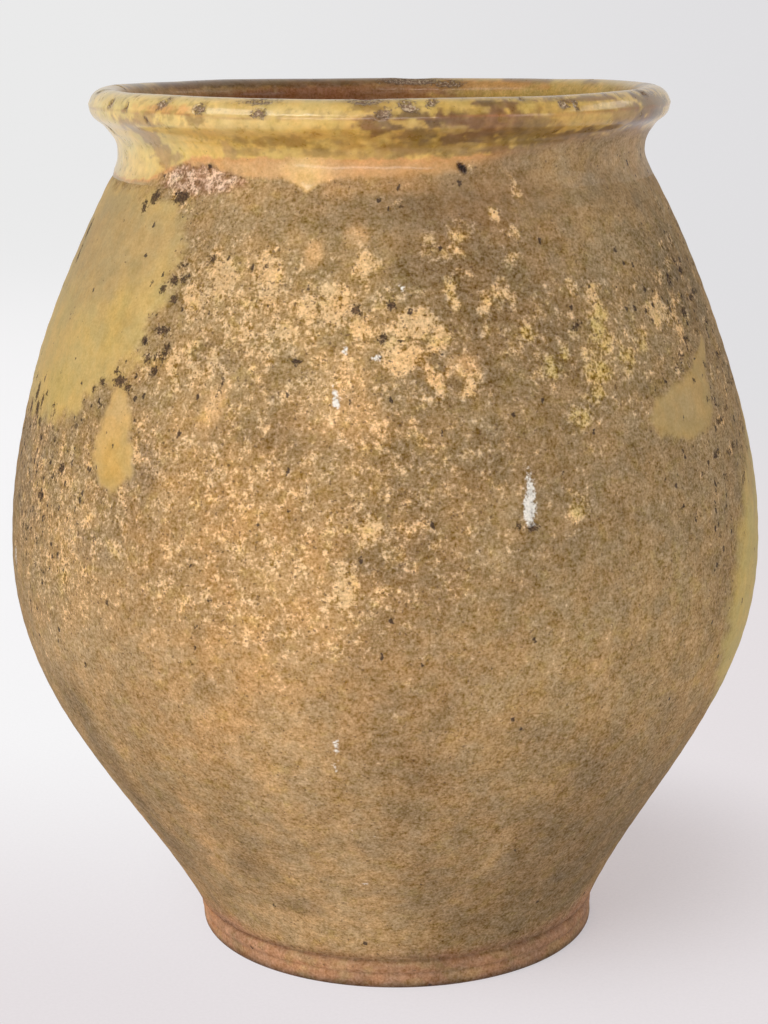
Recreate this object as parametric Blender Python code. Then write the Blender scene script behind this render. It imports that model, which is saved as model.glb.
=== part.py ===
"""Confit pot: a wheel-thrown earthenware jar with a glazed collar and a glazed lining.

The jar is one fired clay vessel, turned from a closed profile. Its glaze coats are thin
shells that seat on the clay: a lining over the whole inside, a collar draped over the rolled
lip and down the neck, and the runs and splashes that dripped on the outer wall.

Metres, +Z up. The foot stands on z = 0, the belly's axis is x = y = 0, and the front of the
jar looks along -Y. Azimuths are counted from the front, positive towards +X.
"""

import math

import bmesh
import bpy
import numpy as np

# Foot
FOOT_RADIUS = 0.0788
FOOT_HEIGHT = 0.012
FOOT_ROUND = 0.0022
GROOVE_DEPTH = 0.0014
GROOVE_WIDTH = 0.0026
FOOT_OFFSET = 0.0044
LEAN_HEIGHT = 0.150

# Belly and shoulder
WAIST_RADIUS = 0.0800
WAIST_SLOPE = math.radians(23.0)
BELLY_RADIUS = 0.1453
BELLY_HEIGHT = 0.154
NECK_RADIUS = 0.0993
WAIST_PULL = 0.31
BELLY_PULL_DOWN = 0.40
BELLY_PULL_UP = 0.48

# Collar and rolled lip
HEIGHT = 0.330
COLLAR_HEIGHT = 0.026
LIP_RADIUS = 0.1088
LIP_BEAD = 0.0065
BEAD_START = math.radians(-50.0)
BEAD_END = math.radians(185.0)
FLARE_PULL = 0.40

# Walls
WALL = 0.009
WAIST_WALL = 0.013
FLOOR = 0.014
FLOOR_ROUND = 0.020

# Glaze coats
GLAZE = 0.0008
SEAT_GAP = 0.0004
GLAZE_FEATHER = 0.35
COAT_RAMP = 0.016
SKIRT_DROP = 0.0030
SCALLOP_DROP = 0.0010
SCALLOPS = 7
DROOP_DROP = 0.0030
DROOP_AZIMUTH = math.radians(-63.0)
DROOP_WIDTH = math.radians(17.0)
DRIP_DROP = 0.0065
DRIP_AZIMUTH = math.radians(-15.0)
DRIP_WIDTH = math.radians(4.5)

# Splash outlines: azimuth in degrees, then the drop below the neck in millimetres
LEFT_SHOULDER_OUTLINE = [
    (-104, 42), (-100, 18), (-78, 10), (-54, 10), (-38, 17), (-39, 36),
    (-43, 59), (-51, 76), (-63, 89), (-78, 91), (-94, 72),
]
LEFT_TONGUE_OUTLINE = [(-45, 73), (-48, 87), (-46, 99), (-41, 106), (-39, 95), (-40, 83)]
RIGHT_SHOULDER_OUTLINE = [
    (66, 65), (57, 68), (48, 76), (43, 84), (45, 91), (52, 95), (61, 92), (64, 80),
]
# The side run hangs on the belly: azimuth in degrees, then the height over the belly
RIGHT_SIDE_OUTLINE = [
    (84, 46), (70, 38), (62, 16), (59, -8), (60, -34), (67, -56), (82, -66), (96, -48),
    (104, -6), (98, 32),
]

# Facets
SEGMENTS = 48
COLLAR_SEGMENTS = 64
LOWER_STEPS = 8
UPPER_STEPS = 9
FLARE_STEPS = 3
BEAD_STEPS = 8
INNER_STEPS = 11
FLOOR_STEPS = 3
SKIRT_STEPS = 2
SPLASH_PITCH = 0.010
LEAST_OUTLINE_STEPS = 16
LEAST_RINGS = 2
FINE_STEPS = 200
FOOT_STEPS = 3
MERGE_DISTANCE = 1e-6
MILLIMETRE = 0.001
SHARP_ANGLE = math.radians(40.0)

NECK_HEIGHT = HEIGHT - COLLAR_HEIGHT
COAT = GLAZE + SEAT_GAP
WAIST_HEIGHT = FOOT_HEIGHT + GROOVE_WIDTH / 2


def clear_scene():
    """Remove every object that the open file holds."""
    for item in list(bpy.data.objects):
        bpy.data.objects.remove(item, do_unlink=True)


def principled(name, colour, roughness):
    """Return a fired-clay or glaze material of one colour."""
    material = bpy.data.materials.new(name)
    material.use_nodes = True
    shader = material.node_tree.nodes["Principled BSDF"]
    shader.inputs["Base Color"].default_value = (*colour, 1.0)
    shader.inputs["Roughness"].default_value = roughness
    shader.inputs["Metallic"].default_value = 0.0
    return material


def bezier(start, start_handle, end_handle, end, steps):
    """Return steps + 1 points along a cubic curve."""
    t = np.linspace(0.0, 1.0, steps + 1)[:, None]
    points = [np.asarray(point, dtype=float) for point in (start, start_handle, end_handle, end)]
    weights = [(1 - t) ** 3, 3 * (1 - t) ** 2 * t, 3 * (1 - t) * t ** 2, t ** 3]
    return sum(weight * point for weight, point in zip(weights, points))


def smoothstep(value):
    """Ease from 0 to 1 as the value goes from 0 to 1."""
    clipped = np.clip(value, 0.0, 1.0)
    return clipped * clipped * (3.0 - 2.0 * clipped)


def lean(z):
    """Return how far the wall's axis stands towards +X at a height."""
    return FOOT_OFFSET * np.clip(1.0 - np.asarray(z) / LEAN_HEIGHT, 0.0, 1.0) ** 2


def wall_path(lower_steps, upper_steps):
    """Return (radius, z) points up the bare outer wall, from the waist to the neck."""
    rise = BELLY_HEIGHT - WAIST_HEIGHT
    pull = WAIST_PULL * rise
    lower = bezier(
        (WAIST_RADIUS, WAIST_HEIGHT),
        (WAIST_RADIUS + pull * math.sin(WAIST_SLOPE), WAIST_HEIGHT + pull * math.cos(WAIST_SLOPE)),
        (BELLY_RADIUS, BELLY_HEIGHT - BELLY_PULL_DOWN * rise),
        (BELLY_RADIUS, BELLY_HEIGHT),
        lower_steps,
    )
    climb = NECK_HEIGHT - BELLY_HEIGHT
    upper = bezier(
        (BELLY_RADIUS, BELLY_HEIGHT),
        (BELLY_RADIUS, BELLY_HEIGHT + BELLY_PULL_UP * climb),
        (NECK_RADIUS, NECK_HEIGHT),
        (NECK_RADIUS, NECK_HEIGHT),
        upper_steps,
    )
    path = np.vstack([lower, upper[1:]])
    # Under the collar's skirt the clay stands back, so that the coat ends flush at the neck.
    path[:, 0] -= COAT * smoothstep((path[:, 1] - NECK_HEIGHT + COAT_RAMP) / COAT_RAMP)
    return path


FINE_WALL = wall_path(FINE_STEPS, FINE_STEPS)


def wall_radius(z):
    """Return the clay's outer radius at a height between the waist and the neck."""
    return np.interp(z, FINE_WALL[:, 1], FINE_WALL[:, 0])


def collar_path(depth):
    """Return (radius, z) points over the lip, lying this deep under the glazed surface.

    The path climbs from the neck up the flare, rolls round the bead and drops inside the
    mouth to the throat.
    """
    centre = np.array([LIP_RADIUS - LIP_BEAD, HEIGHT - LIP_BEAD])
    bead_radius = LIP_BEAD - depth
    angles = np.linspace(BEAD_START, BEAD_END, BEAD_STEPS + 1)
    bead = centre + bead_radius * np.stack([np.cos(angles), np.sin(angles)], axis=1)
    reach = FLARE_PULL * (COLLAR_HEIGHT - LIP_BEAD)
    neck = np.array([NECK_RADIUS - depth, NECK_HEIGHT])
    rising = np.array([-math.sin(BEAD_START), math.cos(BEAD_START)])
    flare = bezier(neck, neck + (0.0, reach), bead[0] - reach * rising, bead[0], FLARE_STEPS)
    throat = np.array([NECK_RADIUS - 2 * COAT - WALL + depth, NECK_HEIGHT])
    falling = np.array([-math.sin(BEAD_END), math.cos(BEAD_END)])
    inside = bezier(bead[-1], bead[-1] + reach * falling, throat + (0.0, reach), throat, FLARE_STEPS)
    return np.vstack([flare, bead[1:], inside[1:]])


def inner_path(inset):
    """Return (radius, z) points down the inside, this far off the clay, from the throat to the axis."""
    round_top = FLOOR + FLOOR_ROUND
    z = np.linspace(NECK_HEIGHT, round_top, INNER_STEPS + 1)
    share = np.clip((z - FLOOR) / (BELLY_HEIGHT - FLOOR), 0.0, 1.0)
    radius = wall_radius(z) - (WAIST_WALL + (WALL - WAIST_WALL) * share)
    centre_radius = radius[-1] - FLOOR_ROUND
    turn = np.linspace(0.0, math.pi / 2, FLOOR_STEPS + 1)[1:]
    bowl_radius = FLOOR_ROUND - inset
    bowl = np.stack([
        centre_radius + bowl_radius * np.cos(turn),
        round_top - bowl_radius * np.sin(turn),
    ], axis=1)
    wall = np.stack([radius - inset, z], axis=1)
    return np.vstack([wall, bowl, [(0.0, FLOOR + inset)]])


def foot_path():
    """Return (radius, z) points of the turned foot, from the axis to the groove under the waist."""
    turn = np.linspace(0.0, math.pi / 2, FOOT_STEPS + 1)
    edge = np.stack([
        FOOT_RADIUS - FOOT_ROUND + FOOT_ROUND * np.sin(turn),
        FOOT_ROUND - FOOT_ROUND * np.cos(turn),
    ], axis=1)
    groove = np.array([
        (FOOT_RADIUS, FOOT_HEIGHT - GROOVE_WIDTH / 2),
        (FOOT_RADIUS - GROOVE_DEPTH, FOOT_HEIGHT),
    ])
    return np.vstack([[(0.0, 0.0)], edge, groove])


def turned_mesh(name, path):
    """Return a mesh of a profile spun about the axis and leaned towards its foot.

    Points of the path that lie on the axis close the shape there.
    """
    mesh = bpy.data.meshes.new(name)
    turned = bmesh.new()
    points = [turned.verts.new((radius, 0.0, z)) for radius, z in path]
    edges = [turned.edges.new(pair) for pair in zip(points, points[1:])]
    bmesh.ops.spin(
        turned, geom=points + edges, cent=(0, 0, 0), axis=(0, 0, 1),
        angle=2 * math.pi, steps=SEGMENTS, use_merge=True,
    )
    bmesh.ops.remove_doubles(turned, verts=turned.verts, dist=MERGE_DISTANCE)
    for vertex in turned.verts:
        vertex.co.x += float(lean(vertex.co.z))
    bmesh.ops.recalc_face_normals(turned, faces=turned.faces)
    turned.to_mesh(mesh)
    turned.free()
    return mesh


def grid_mesh(name, points, closed_round):
    """Return a mesh of quads over a grid of points, joined end to end where closed_round is set."""
    rows, columns = points.shape[:2]
    index = np.arange(rows * columns).reshape(rows, columns)
    following = np.roll(index, -1, axis=0)
    if not closed_round:
        index, following = index[:-1], following[:-1]
    faces = np.stack([index[:, :-1], following[:, :-1], following[:, 1:], index[:, 1:]], axis=-1)
    mesh = bpy.data.meshes.new(name)
    mesh.from_pydata(points.reshape(-1, 3).tolist(), [], faces.reshape(-1, 4).tolist())
    return mesh


def add_piece(name, mesh, material):
    """Put a mesh in the scene as a smooth-shaded object of one material."""
    mesh.materials.append(material)
    mesh.shade_smooth()
    mesh.set_sharp_from_angle(angle=SHARP_ANGLE)
    piece = bpy.data.objects.new(name, mesh)
    bpy.context.scene.collection.objects.link(piece)
    return piece


def thicken(piece, thickness, feather=None):
    """Give a sheet its thickness on the side that its faces look to.

    feather holds a share of the thickness for each vertex, so that a run of glaze thins out
    towards its edge.
    """
    shell = piece.modifiers.new("coat", "SOLIDIFY")
    shell.thickness = thickness
    shell.offset = 1.0
    shell.use_even_offset = True
    shell.use_quality_normals = True
    if feather is not None:
        group = piece.vertex_groups.new(name="film")
        for number, share in enumerate(feather):
            group.add([number], float(share), "REPLACE")
        shell.vertex_group = group.name


def make_clay_body():
    """Turn the vessel: flat base, grooved foot, wall, rolled lip core and hollow, as one body."""
    path = np.vstack([
        foot_path(),
        wall_path(LOWER_STEPS, UPPER_STEPS),
        collar_path(COAT)[1:-1],
        inner_path(0.0),
    ])
    clay = principled("fired clay", (0.47, 0.30, 0.14), 0.85)
    return add_piece("clay_body", turned_mesh("clay_body", path), clay)


def make_inner_glaze():
    """Line the inside with glaze, from the throat down to the middle of the floor."""
    path = inner_path(SEAT_GAP)
    path[0, 1] -= SEAT_GAP
    mesh = turned_mesh("inner_glaze", path)
    face_inwards(mesh)
    lining = principled("lining glaze", (0.42, 0.24, 0.07), 0.25)
    piece = add_piece("inner_glaze", mesh, lining)
    thicken(piece, GLAZE)
    return piece


def face_inwards(mesh):
    """Turn a lining's faces towards the axis and up, whichever way they were wound."""
    normals = np.array([polygon.normal[:] for polygon in mesh.polygons])
    centres = np.array([polygon.center[:] for polygon in mesh.polygons])
    middle = np.array([0.0, 0.0, BELLY_HEIGHT])
    if np.einsum("ij,ij->i", normals, middle - centres).sum() < 0:
        mesh.flip_normals()


def skirt_drop(azimuth):
    """Return how far below the neck the collar of glaze reaches at each azimuth.

    The edge is scalloped, sags on the left and has one drip near the front.
    """
    def bump(centre, width):
        away = (azimuth - centre + math.pi) % (2 * math.pi) - math.pi
        return np.exp(-(away / width) ** 2)

    scallop = SCALLOP_DROP * (1 + np.sin(SCALLOPS * azimuth))
    sag = DROOP_DROP * bump(DROOP_AZIMUTH, DROOP_WIDTH)
    drip = DRIP_DROP * bump(DRIP_AZIMUTH, DRIP_WIDTH)
    return SKIRT_DROP + scallop + sag + drip


def make_rim_glaze():
    """Drape the collar of glaze from its scalloped edge on the neck, over the lip, into the mouth."""
    azimuth = np.linspace(0.0, 2 * math.pi, COLLAR_SEGMENTS, endpoint=False)
    share = np.linspace(1.0, 0.0, SKIRT_STEPS + 1)[:-1]
    skirt_z = NECK_HEIGHT - skirt_drop(azimuth)[:, None] * share
    skirt_radius = wall_radius(skirt_z) + SEAT_GAP
    lip = collar_path(GLAZE)
    radius = np.hstack([skirt_radius, np.tile(lip[:, 0], (COLLAR_SEGMENTS, 1))])
    z = np.hstack([skirt_z, np.tile(lip[:, 1], (COLLAR_SEGMENTS, 1))])
    turn = azimuth[:, None]
    points = np.stack([radius * np.sin(turn) + lean(z), -radius * np.cos(turn), z], axis=-1)
    honey = principled("honey glaze", (0.55, 0.41, 0.10), 0.22)
    piece = add_piece("rim_glaze", grid_mesh("rim_glaze", points, closed_round=True), honey)
    thicken(piece, GLAZE)
    return piece


def closed_spline(points, steps):
    """Return points along a smooth closed curve through the given points."""
    knots = np.asarray(points, dtype=float)
    place = np.linspace(0.0, len(knots), steps, endpoint=False)
    first = place.astype(int)
    t = (place - first)[:, None]
    before, start, end, after = (knots[(first + step) % len(knots)] for step in (-1, 0, 1, 2))
    return 0.5 * (
        2 * start + (end - before) * t
        + (2 * before - 5 * start + 4 * end - after) * t ** 2
        + (3 * start - before - 3 * end + after) * t ** 3
    )


def on_wall(place, level):
    """Return points just off the outer wall.

    place holds azimuths in degrees and heights in millimetres over the level.
    """
    turn = np.radians(place[..., 0])
    z = level + MILLIMETRE * place[..., 1]
    radius = wall_radius(z) + SEAT_GAP
    return np.stack([radius * np.sin(turn) + lean(z), -radius * np.cos(turn), z], axis=-1)


def make_splash(name, outline, level, material):
    """Lay a run of glaze on the outer wall, inside an outline given over a level.

    Rings shrink from the outline to its middle, close enough to follow the wall's curve, and
    the coat thins out towards the outline.
    """
    fine_edge = closed_spline(outline, FINE_STEPS)
    fine_points = on_wall(fine_edge, level)
    length = np.linalg.norm(fine_points - np.roll(fine_points, 1, axis=0), axis=1).sum()
    middle = fine_edge.mean(axis=0)
    reach = np.linalg.norm(fine_points - on_wall(middle, level), axis=1).max()
    edge = closed_spline(outline, max(LEAST_OUTLINE_STEPS, math.ceil(length / SPLASH_PITCH)))
    rings = max(LEAST_RINGS, math.ceil(reach / SPLASH_PITCH))
    share = np.linspace(1.0, 0.0, rings + 1)
    place = middle + share[None, :, None] * (edge - middle)[:, None, :]
    mesh = grid_mesh(name, on_wall(place, level), closed_round=True)
    sheet = bmesh.new()
    sheet.from_mesh(mesh)
    bmesh.ops.remove_doubles(sheet, verts=sheet.verts, dist=MERGE_DISTANCE)
    bmesh.ops.recalc_face_normals(sheet, faces=sheet.faces)
    sheet.faces.ensure_lookup_table()
    outward = sheet.faces[0].calc_center_median()
    if sheet.faces[0].normal.xy.dot(outward.xy) < 0:
        bmesh.ops.reverse_faces(sheet, faces=sheet.faces)
    on_edge = [vertex.is_boundary for vertex in sheet.verts]
    sheet.to_mesh(mesh)
    sheet.free()
    piece = add_piece(name, mesh, material)
    thicken(piece, GLAZE, [GLAZE_FEATHER if boundary else 1.0 for boundary in on_edge])
    return piece


def below_neck(outline):
    """Turn an outline's drops below the neck into heights over it."""
    return [(azimuth, -drop) for azimuth, drop in outline]


def main():
    """Build the vessel and its coats of glaze."""
    clear_scene()
    make_clay_body()
    make_inner_glaze()
    make_rim_glaze()
    olive = principled("olive glaze", (0.45, 0.34, 0.11), 0.45)
    ochre = principled("ochre glaze", (0.52, 0.36, 0.09), 0.40)
    make_splash("left_shoulder_glaze", below_neck(LEFT_SHOULDER_OUTLINE), NECK_HEIGHT, olive)
    make_splash("left_glaze_tongue", below_neck(LEFT_TONGUE_OUTLINE), NECK_HEIGHT, ochre)
    make_splash("right_shoulder_glaze", below_neck(RIGHT_SHOULDER_OUTLINE), NECK_HEIGHT, olive)
    make_splash("right_side_glaze", RIGHT_SIDE_OUTLINE, BELLY_HEIGHT, olive)


main()
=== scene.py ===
"""Looks of a confit pot: weathered clay, a honey glazed collar, glaze runs and a plain studio.

Lengths are metres unless a name says millimetres. +Z is up and the front of the jar looks along -Y.
Azimuths are degrees from the front, positive towards +X. A mark is placed by its azimuth and by its
height in millimetres, counted from FOOT_DROP over the table. Past the crest of the lip the height goes
on counting up, so the same two numbers also name a place inside the mouth.
"""

from __future__ import annotations

import itertools
import logging
import math
from dataclasses import dataclass
from enum import Enum
from typing import Mapping, Optional, Sequence, Union

import bpy
import numpy as np
from mathutils import Matrix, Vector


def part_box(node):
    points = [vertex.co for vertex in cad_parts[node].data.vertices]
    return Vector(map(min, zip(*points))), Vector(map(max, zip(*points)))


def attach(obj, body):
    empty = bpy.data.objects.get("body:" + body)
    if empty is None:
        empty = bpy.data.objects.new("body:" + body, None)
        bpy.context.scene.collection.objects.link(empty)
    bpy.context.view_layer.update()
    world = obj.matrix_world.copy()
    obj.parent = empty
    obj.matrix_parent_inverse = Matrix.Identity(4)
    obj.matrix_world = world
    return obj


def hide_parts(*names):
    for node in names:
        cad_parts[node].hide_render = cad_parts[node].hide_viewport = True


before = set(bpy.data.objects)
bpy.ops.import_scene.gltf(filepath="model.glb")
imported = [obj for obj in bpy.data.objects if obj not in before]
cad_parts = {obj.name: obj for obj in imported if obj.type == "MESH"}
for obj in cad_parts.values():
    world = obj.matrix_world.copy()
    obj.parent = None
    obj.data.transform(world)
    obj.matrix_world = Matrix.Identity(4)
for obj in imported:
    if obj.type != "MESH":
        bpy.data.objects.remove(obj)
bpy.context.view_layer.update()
# The foot reaches a little below the zero of the drawn heights; the whole keeps the CAD's height.
FOOT_DROP = 0.0018
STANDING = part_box("rim_glaze")[1].z / (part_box("rim_glaze")[1].z + FOOT_DROP)

LOG = logging.getLogger("confit_pot")
MM = 0.001
FULL_TURN = 2.0 * math.pi
BODY = "root"
# Levels that a mesh stores: far from every mark, and where no bare clay or hardly any shows.
NO_MARK = -9.0
SEALED = -5.0
FILMED = -3.2


def linear(colour: Sequence[float]) -> np.ndarray:
    """Turn an 8-bit sRGB colour into linear light.

    Args:
        colour: Red, green and blue from 0 to 255.

    Returns:
        Three linear values from 0 to 1.
    """
    share = np.asarray(colour, dtype=float) / 255.0
    return np.where(share <= 0.04045, share / 12.92, ((share + 0.055) / 1.055) ** 2.4)


class Tone(Enum):
    """Colours of the clay, the glazes and what time left on them, two also used as painted shade, and
    the studio's cloth and backdrop, as 8-bit sRGB.
    """

    SAND = (160, 132, 90)
    WARM_SAND = (184, 145, 96)
    PALE_SAND = (177, 147, 104)
    UMBER = (133, 108, 74)
    RUSSET = (143, 112, 76)
    LICHEN = (148, 124, 88)
    # Dark patina, and also painted shade where it darkens the lower right of the wall.
    DARK_PATINA_AND_SHADE = (120, 100, 71)
    ASH = (146, 124, 94)
    EARTH = (180, 133, 98)
    # The foot's red, darkened as painted shade towards the foot's right side.
    EARTH_SHADED = (142, 106, 80)
    PEACH = (220, 176, 122)
    SLIP = (193, 145, 87)
    CREAM = (212, 176, 125)
    FLAKE = (200, 166, 119)
    PINK_CLAY = (222, 190, 160)
    CRATER_DARK = (156, 119, 90)
    CHALK = (226, 221, 211)
    SOOT = (50, 34, 27)
    GRIT = (96, 70, 46)
    HONEY = (210, 175, 94)
    HONEY_PALE = (219, 187, 119)
    HONEY_LIGHT = (226, 201, 118)
    HONEY_DEEP = (180, 142, 73)
    AMBER = (206, 146, 84)
    RUST = (150, 96, 60)
    BROWN_FILM = (104, 78, 50)
    OLIVE_FILM = (144, 116, 58)
    BEIGE_FILM = (166, 132, 84)
    CHIP = (200, 176, 148)
    CHIP_DARK = (126, 100, 80)
    OLIVE = (194, 165, 100)
    OLIVE_BRIGHT = (201, 168, 88)
    OLIVE_GREY = (174, 147, 99)
    OLIVE_DULL = (172, 143, 86)
    OLIVE_DARK = (168, 141, 82)
    OLIVE_LIME = (185, 161, 88)
    OCHRE = (196, 161, 97)
    OCHRE_DEEP = (194, 156, 83)
    OXBLOOD = (138, 84, 52)
    CARAMEL = (158, 110, 64)
    FLOOR = (240, 233, 235)
    BACKDROP_FRONT = (229, 223, 225)
    BACKDROP_LEFT = (246, 245, 246)
    BACKDROP_TOP = (234, 234, 234)
    BACKDROP_RIGHT = (224, 223, 225)

    @property
    def light(self) -> np.ndarray:
        """The colour in linear light."""
        return linear(self.value)

    @property
    def rgba(self) -> tuple[float, ...]:
        """The colour in linear light with full alpha, as a colour socket takes it."""
        return (*self.light.tolist(), 1.0)

    def flooded(self, shape: tuple[int, ...]) -> np.ndarray:
        """Return a field of points that all have this colour."""
        return np.broadcast_to(self.light, (*shape, 3))


def smoothstep(low: float, high: float, value: np.ndarray) -> np.ndarray:
    """Ease from 0 at low to 1 at high.

    Args:
        low: Where the ease starts.
        high: Where it ends.
        value: Any array.

    Returns:
        The eased array, 3 t^2 - 2 t^3 of the clipped share t.
    """
    share = np.clip((value - low) / (high - low), 0.0, 1.0)
    return share * share * (3.0 - 2.0 * share)


def bell(value: np.ndarray, width: float) -> np.ndarray:
    """Return a bell curve, exp(-(value / width)^2)."""
    return np.exp(-((value / width) ** 2))


Target = Union[Tone, float, np.ndarray]


def toward(field: np.ndarray, share: np.ndarray, target: Target) -> np.ndarray:
    """Move a field of numbers or colours towards a target.

    Args:
        field: Numbers, or colours in one more axis.
        share: How far to move at each point, 0 to 1.
        target: A number, a tone or a field.

    Returns:
        field + share (target - field).
    """
    weight = share[..., None] if field.ndim > share.ndim else share
    goal = target.light if isinstance(target, Tone) else target
    return field + weight * (goal - field)


def cubic_curve(corners: Sequence[Sequence[float]], steps: int) -> np.ndarray:
    """Return steps + 1 points along the cubic curve of four corner points.

    Args:
        corners: Start, start handle, end handle and end.
        steps: How many spans the curve is cut into.

    Returns:
        Points as an array of two columns.
    """
    t = np.linspace(0.0, 1.0, steps + 1)[:, None]
    start, out, back, end = (np.asarray(corner, dtype=float) for corner in corners)
    return (1 - t) ** 3 * start + 3 * (1 - t) ** 2 * t * out + 3 * (1 - t) * t**2 * back + t**3 * end


def even_steps(path: np.ndarray, count: int) -> np.ndarray:
    """Cut a polyline into points of equal arc length.

    Args:
        path: Points, one per row.
        count: How many points to return.

    Returns:
        The points, ends included.
    """
    length = np.concatenate([[0.0], np.cumsum(np.linalg.norm(np.diff(path, axis=0), axis=1))])
    places = np.linspace(0.0, length[-1], count)
    return np.stack([np.interp(places, length, path[:, axis]) for axis in range(path.shape[1])], axis=1)


def closed_spline(knots: Sequence[Sequence[float]], count: int) -> np.ndarray:
    """Return points along a smooth closed curve through knots.

    Each span is a cubic, and its slope at a knot is half the step from the knot before to the one after.

    Args:
        knots: The points to pass through.
        count: How many points to return.

    Returns:
        The points, without the first one repeated.
    """
    fixed = np.asarray(knots, dtype=float)
    place = np.linspace(0.0, len(fixed), count, endpoint=False)
    first = place.astype(int)
    t = (place - first)[:, None]
    before, start, end, after = (fixed[(first + step) % len(fixed)] for step in (-1, 0, 1, 2))
    return 0.5 * (
        2 * start
        + (end - before) * t
        + (2 * before - 5 * start + 4 * end - after) * t**2
        + (3 * start - before - 3 * end + after) * t**3
    )


class GradientNoise:
    """Seeded gradient noise in space, worked out for whole arrays of points."""

    CELLS = 256
    GAIN = 1.7
    OCTAVE_SHIFT = 17.3

    def __init__(self, seed: int) -> None:
        """Shuffle the cells and draw their slopes.

        Args:
            seed: Any whole number; the same number gives the same noise.
        """
        draw = np.random.default_rng(seed)
        self._order = draw.permutation(self.CELLS)
        slopes = draw.normal(size=(self.CELLS, 3))
        self._slopes = slopes / np.linalg.norm(slopes, axis=1, keepdims=True)

    def _single(self, places: np.ndarray) -> np.ndarray:
        """Blend the slopes of the eight cell corners round each place by a quintic ease.

        Args:
            places: Places in cells, in the last axis.

        Returns:
            Values of about -1 to 1.
        """
        cell = np.floor(places).astype(int)
        inside = places - cell
        ease = inside**3 * (inside * (inside * 6.0 - 15.0) + 10.0)
        total = np.zeros(places.shape[:-1])
        for corner in itertools.product((0, 1), repeat=3):
            step = np.array(corner)
            x, y, z = np.moveaxis(cell + step, -1, 0)
            turn = self._order[x % self.CELLS]
            turn = self._order[(turn + y) % self.CELLS]
            turn = self._order[(turn + z) % self.CELLS]
            weight = np.prod(np.where(step == 1, ease, 1.0 - ease), axis=-1)
            total += weight * np.sum(self._slopes[turn] * (inside - step), axis=-1)
        return self.GAIN * total

    def at(
        self, points: np.ndarray, size_mm: float, octaves: int = 3, flatten: float = 1.0
    ) -> np.ndarray:
        """Sum octaves of noise, each half as large and half as strong as the one before.

        Args:
            points: Places in metres, in the last axis.
            size_mm: Size of the largest patches.
            octaves: How many layers are added.
            flatten: How much shorter the patches are in height than across.

        Returns:
            Values of about -1 to 1.
        """
        places = points * np.array([1.0, 1.0, flatten]) / (size_mm * MM)
        total = np.zeros(points.shape[:-1])
        for octave in range(octaves):
            total += 0.5**octave * self._single(places * 2.0**octave + self.OCTAVE_SHIFT * octave)
        return total


CLOUDS = GradientNoise(11)
EDGES = GradientNoise(23)
RELIEF = GradientNoise(37)


def from_front(azimuth: np.ndarray) -> np.ndarray:
    """Bring azimuths into the range of -180 to 180 degrees."""
    return (azimuth + 180.0) % 360.0 - 180.0


@dataclass
class Skin:
    """Points of a turned surface and where each one lies on the jar.

    Attributes:
        azimuth: Degrees from the front.
        height: Millimetres over the foot's drop, counted on past the crest inside the mouth.
        radius: Distance from the axis in metres.
        z: Height over the foot's drop in metres.
        shift: How far the axis leans towards +X, in metres.
    """

    azimuth: np.ndarray
    height: np.ndarray
    radius: np.ndarray
    z: np.ndarray
    shift: np.ndarray

    @property
    def points(self) -> np.ndarray:
        """Work out the places in space.

        Returns:
            Points round the leaning axis, raised onto the foot and scaled to the height.
        """
        turn = np.radians(self.azimuth)
        across = self.radius * np.sin(turn) + self.shift
        return STANDING * np.stack([across, -self.radius * np.cos(turn), self.z + FOOT_DROP], axis=-1)

    def away_from(self, azimuth: float, height: float) -> tuple[np.ndarray, np.ndarray]:
        """Measure from a place on the surface.

        Args:
            azimuth: The place's azimuth in degrees.
            height: The place's height in millimetres.

        Returns:
            How far each point lies across and up from it, in millimetres.
        """
        turn = np.radians(from_front(self.azimuth - azimuth))
        return turn * self.radius / MM, self.height - height


@dataclass(frozen=True)
class Blotch:
    """An oval mark on the jar.

    Attributes:
        azimuth: Of its middle, in degrees.
        height: Of its middle, in millimetres.
        half_width: Half its size across, in millimetres.
        half_height: Half its size upwards, in millimetres.
        tilt: How far it is turned, in degrees.
    """

    azimuth: float
    height: float
    half_width: float
    half_height: float
    tilt: float = 0.0

    def level(self, skin: Skin) -> np.ndarray:
        """Measure how far inside the oval each point lies.

        Args:
            skin: The points.

        Returns:
            Millimetres inside the edge, and less than 0 outside it.
        """
        across, up = skin.away_from(self.azimuth, self.height)
        turn = math.radians(self.tilt)
        long_way = (across * math.cos(turn) + up * math.sin(turn)) / self.half_width
        short_way = (up * math.cos(turn) - across * math.sin(turn)) / self.half_height
        return (1.0 - np.hypot(long_way, short_way)) * min(self.half_width, self.half_height)


@dataclass(frozen=True)
class Wash:
    """A patch where a colour or a number changes, with soft or ragged edges.

    Attributes:
        target: The colour or the number inside it.
        place: Its oval.
        strength: How far a point at its middle is moved to the target, 0 to 1.
        softness: Width of its edge as a share of the oval's lesser half size.
        ragged: How far noise moves the edge, as a share of the same size.
    """

    target: Target
    place: Blotch
    strength: float
    softness: float = 1.0
    ragged: float = 0.35

    def over(self, field: np.ndarray, skin: Skin, edge_noise: np.ndarray) -> np.ndarray:
        """Lay the patch over a field.

        The weight eases from nothing outside the oval to full strength inside it, over a band
        that is a share of the oval's half size, and noise pushes the edge in and out.

        Args:
            field: Linear colours or numbers of the points.
            skin: The points.
            edge_noise: Noise of about -1 to 1 at the points.

        Returns:
            The changed field.
        """
        size = min(self.place.half_width, self.place.half_height)
        share = self.place.level(skin) / size + self.ragged * edge_noise
        weight = self.strength * smoothstep(-0.5 * self.softness, 0.5 * self.softness, share)
        return toward(field, weight, self.target)


def highest(places: Sequence[Blotch], skin: Skin) -> np.ndarray:
    """Find the greatest level of any mark at each point.

    Args:
        places: The marks.
        skin: The points.

    Returns:
        Levels in millimetres, and NO_MARK far from every mark.
    """
    level = np.full(skin.azimuth.shape, NO_MARK)
    for mark in places:
        np.maximum(level, mark.level(skin), out=level)
    return level


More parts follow.
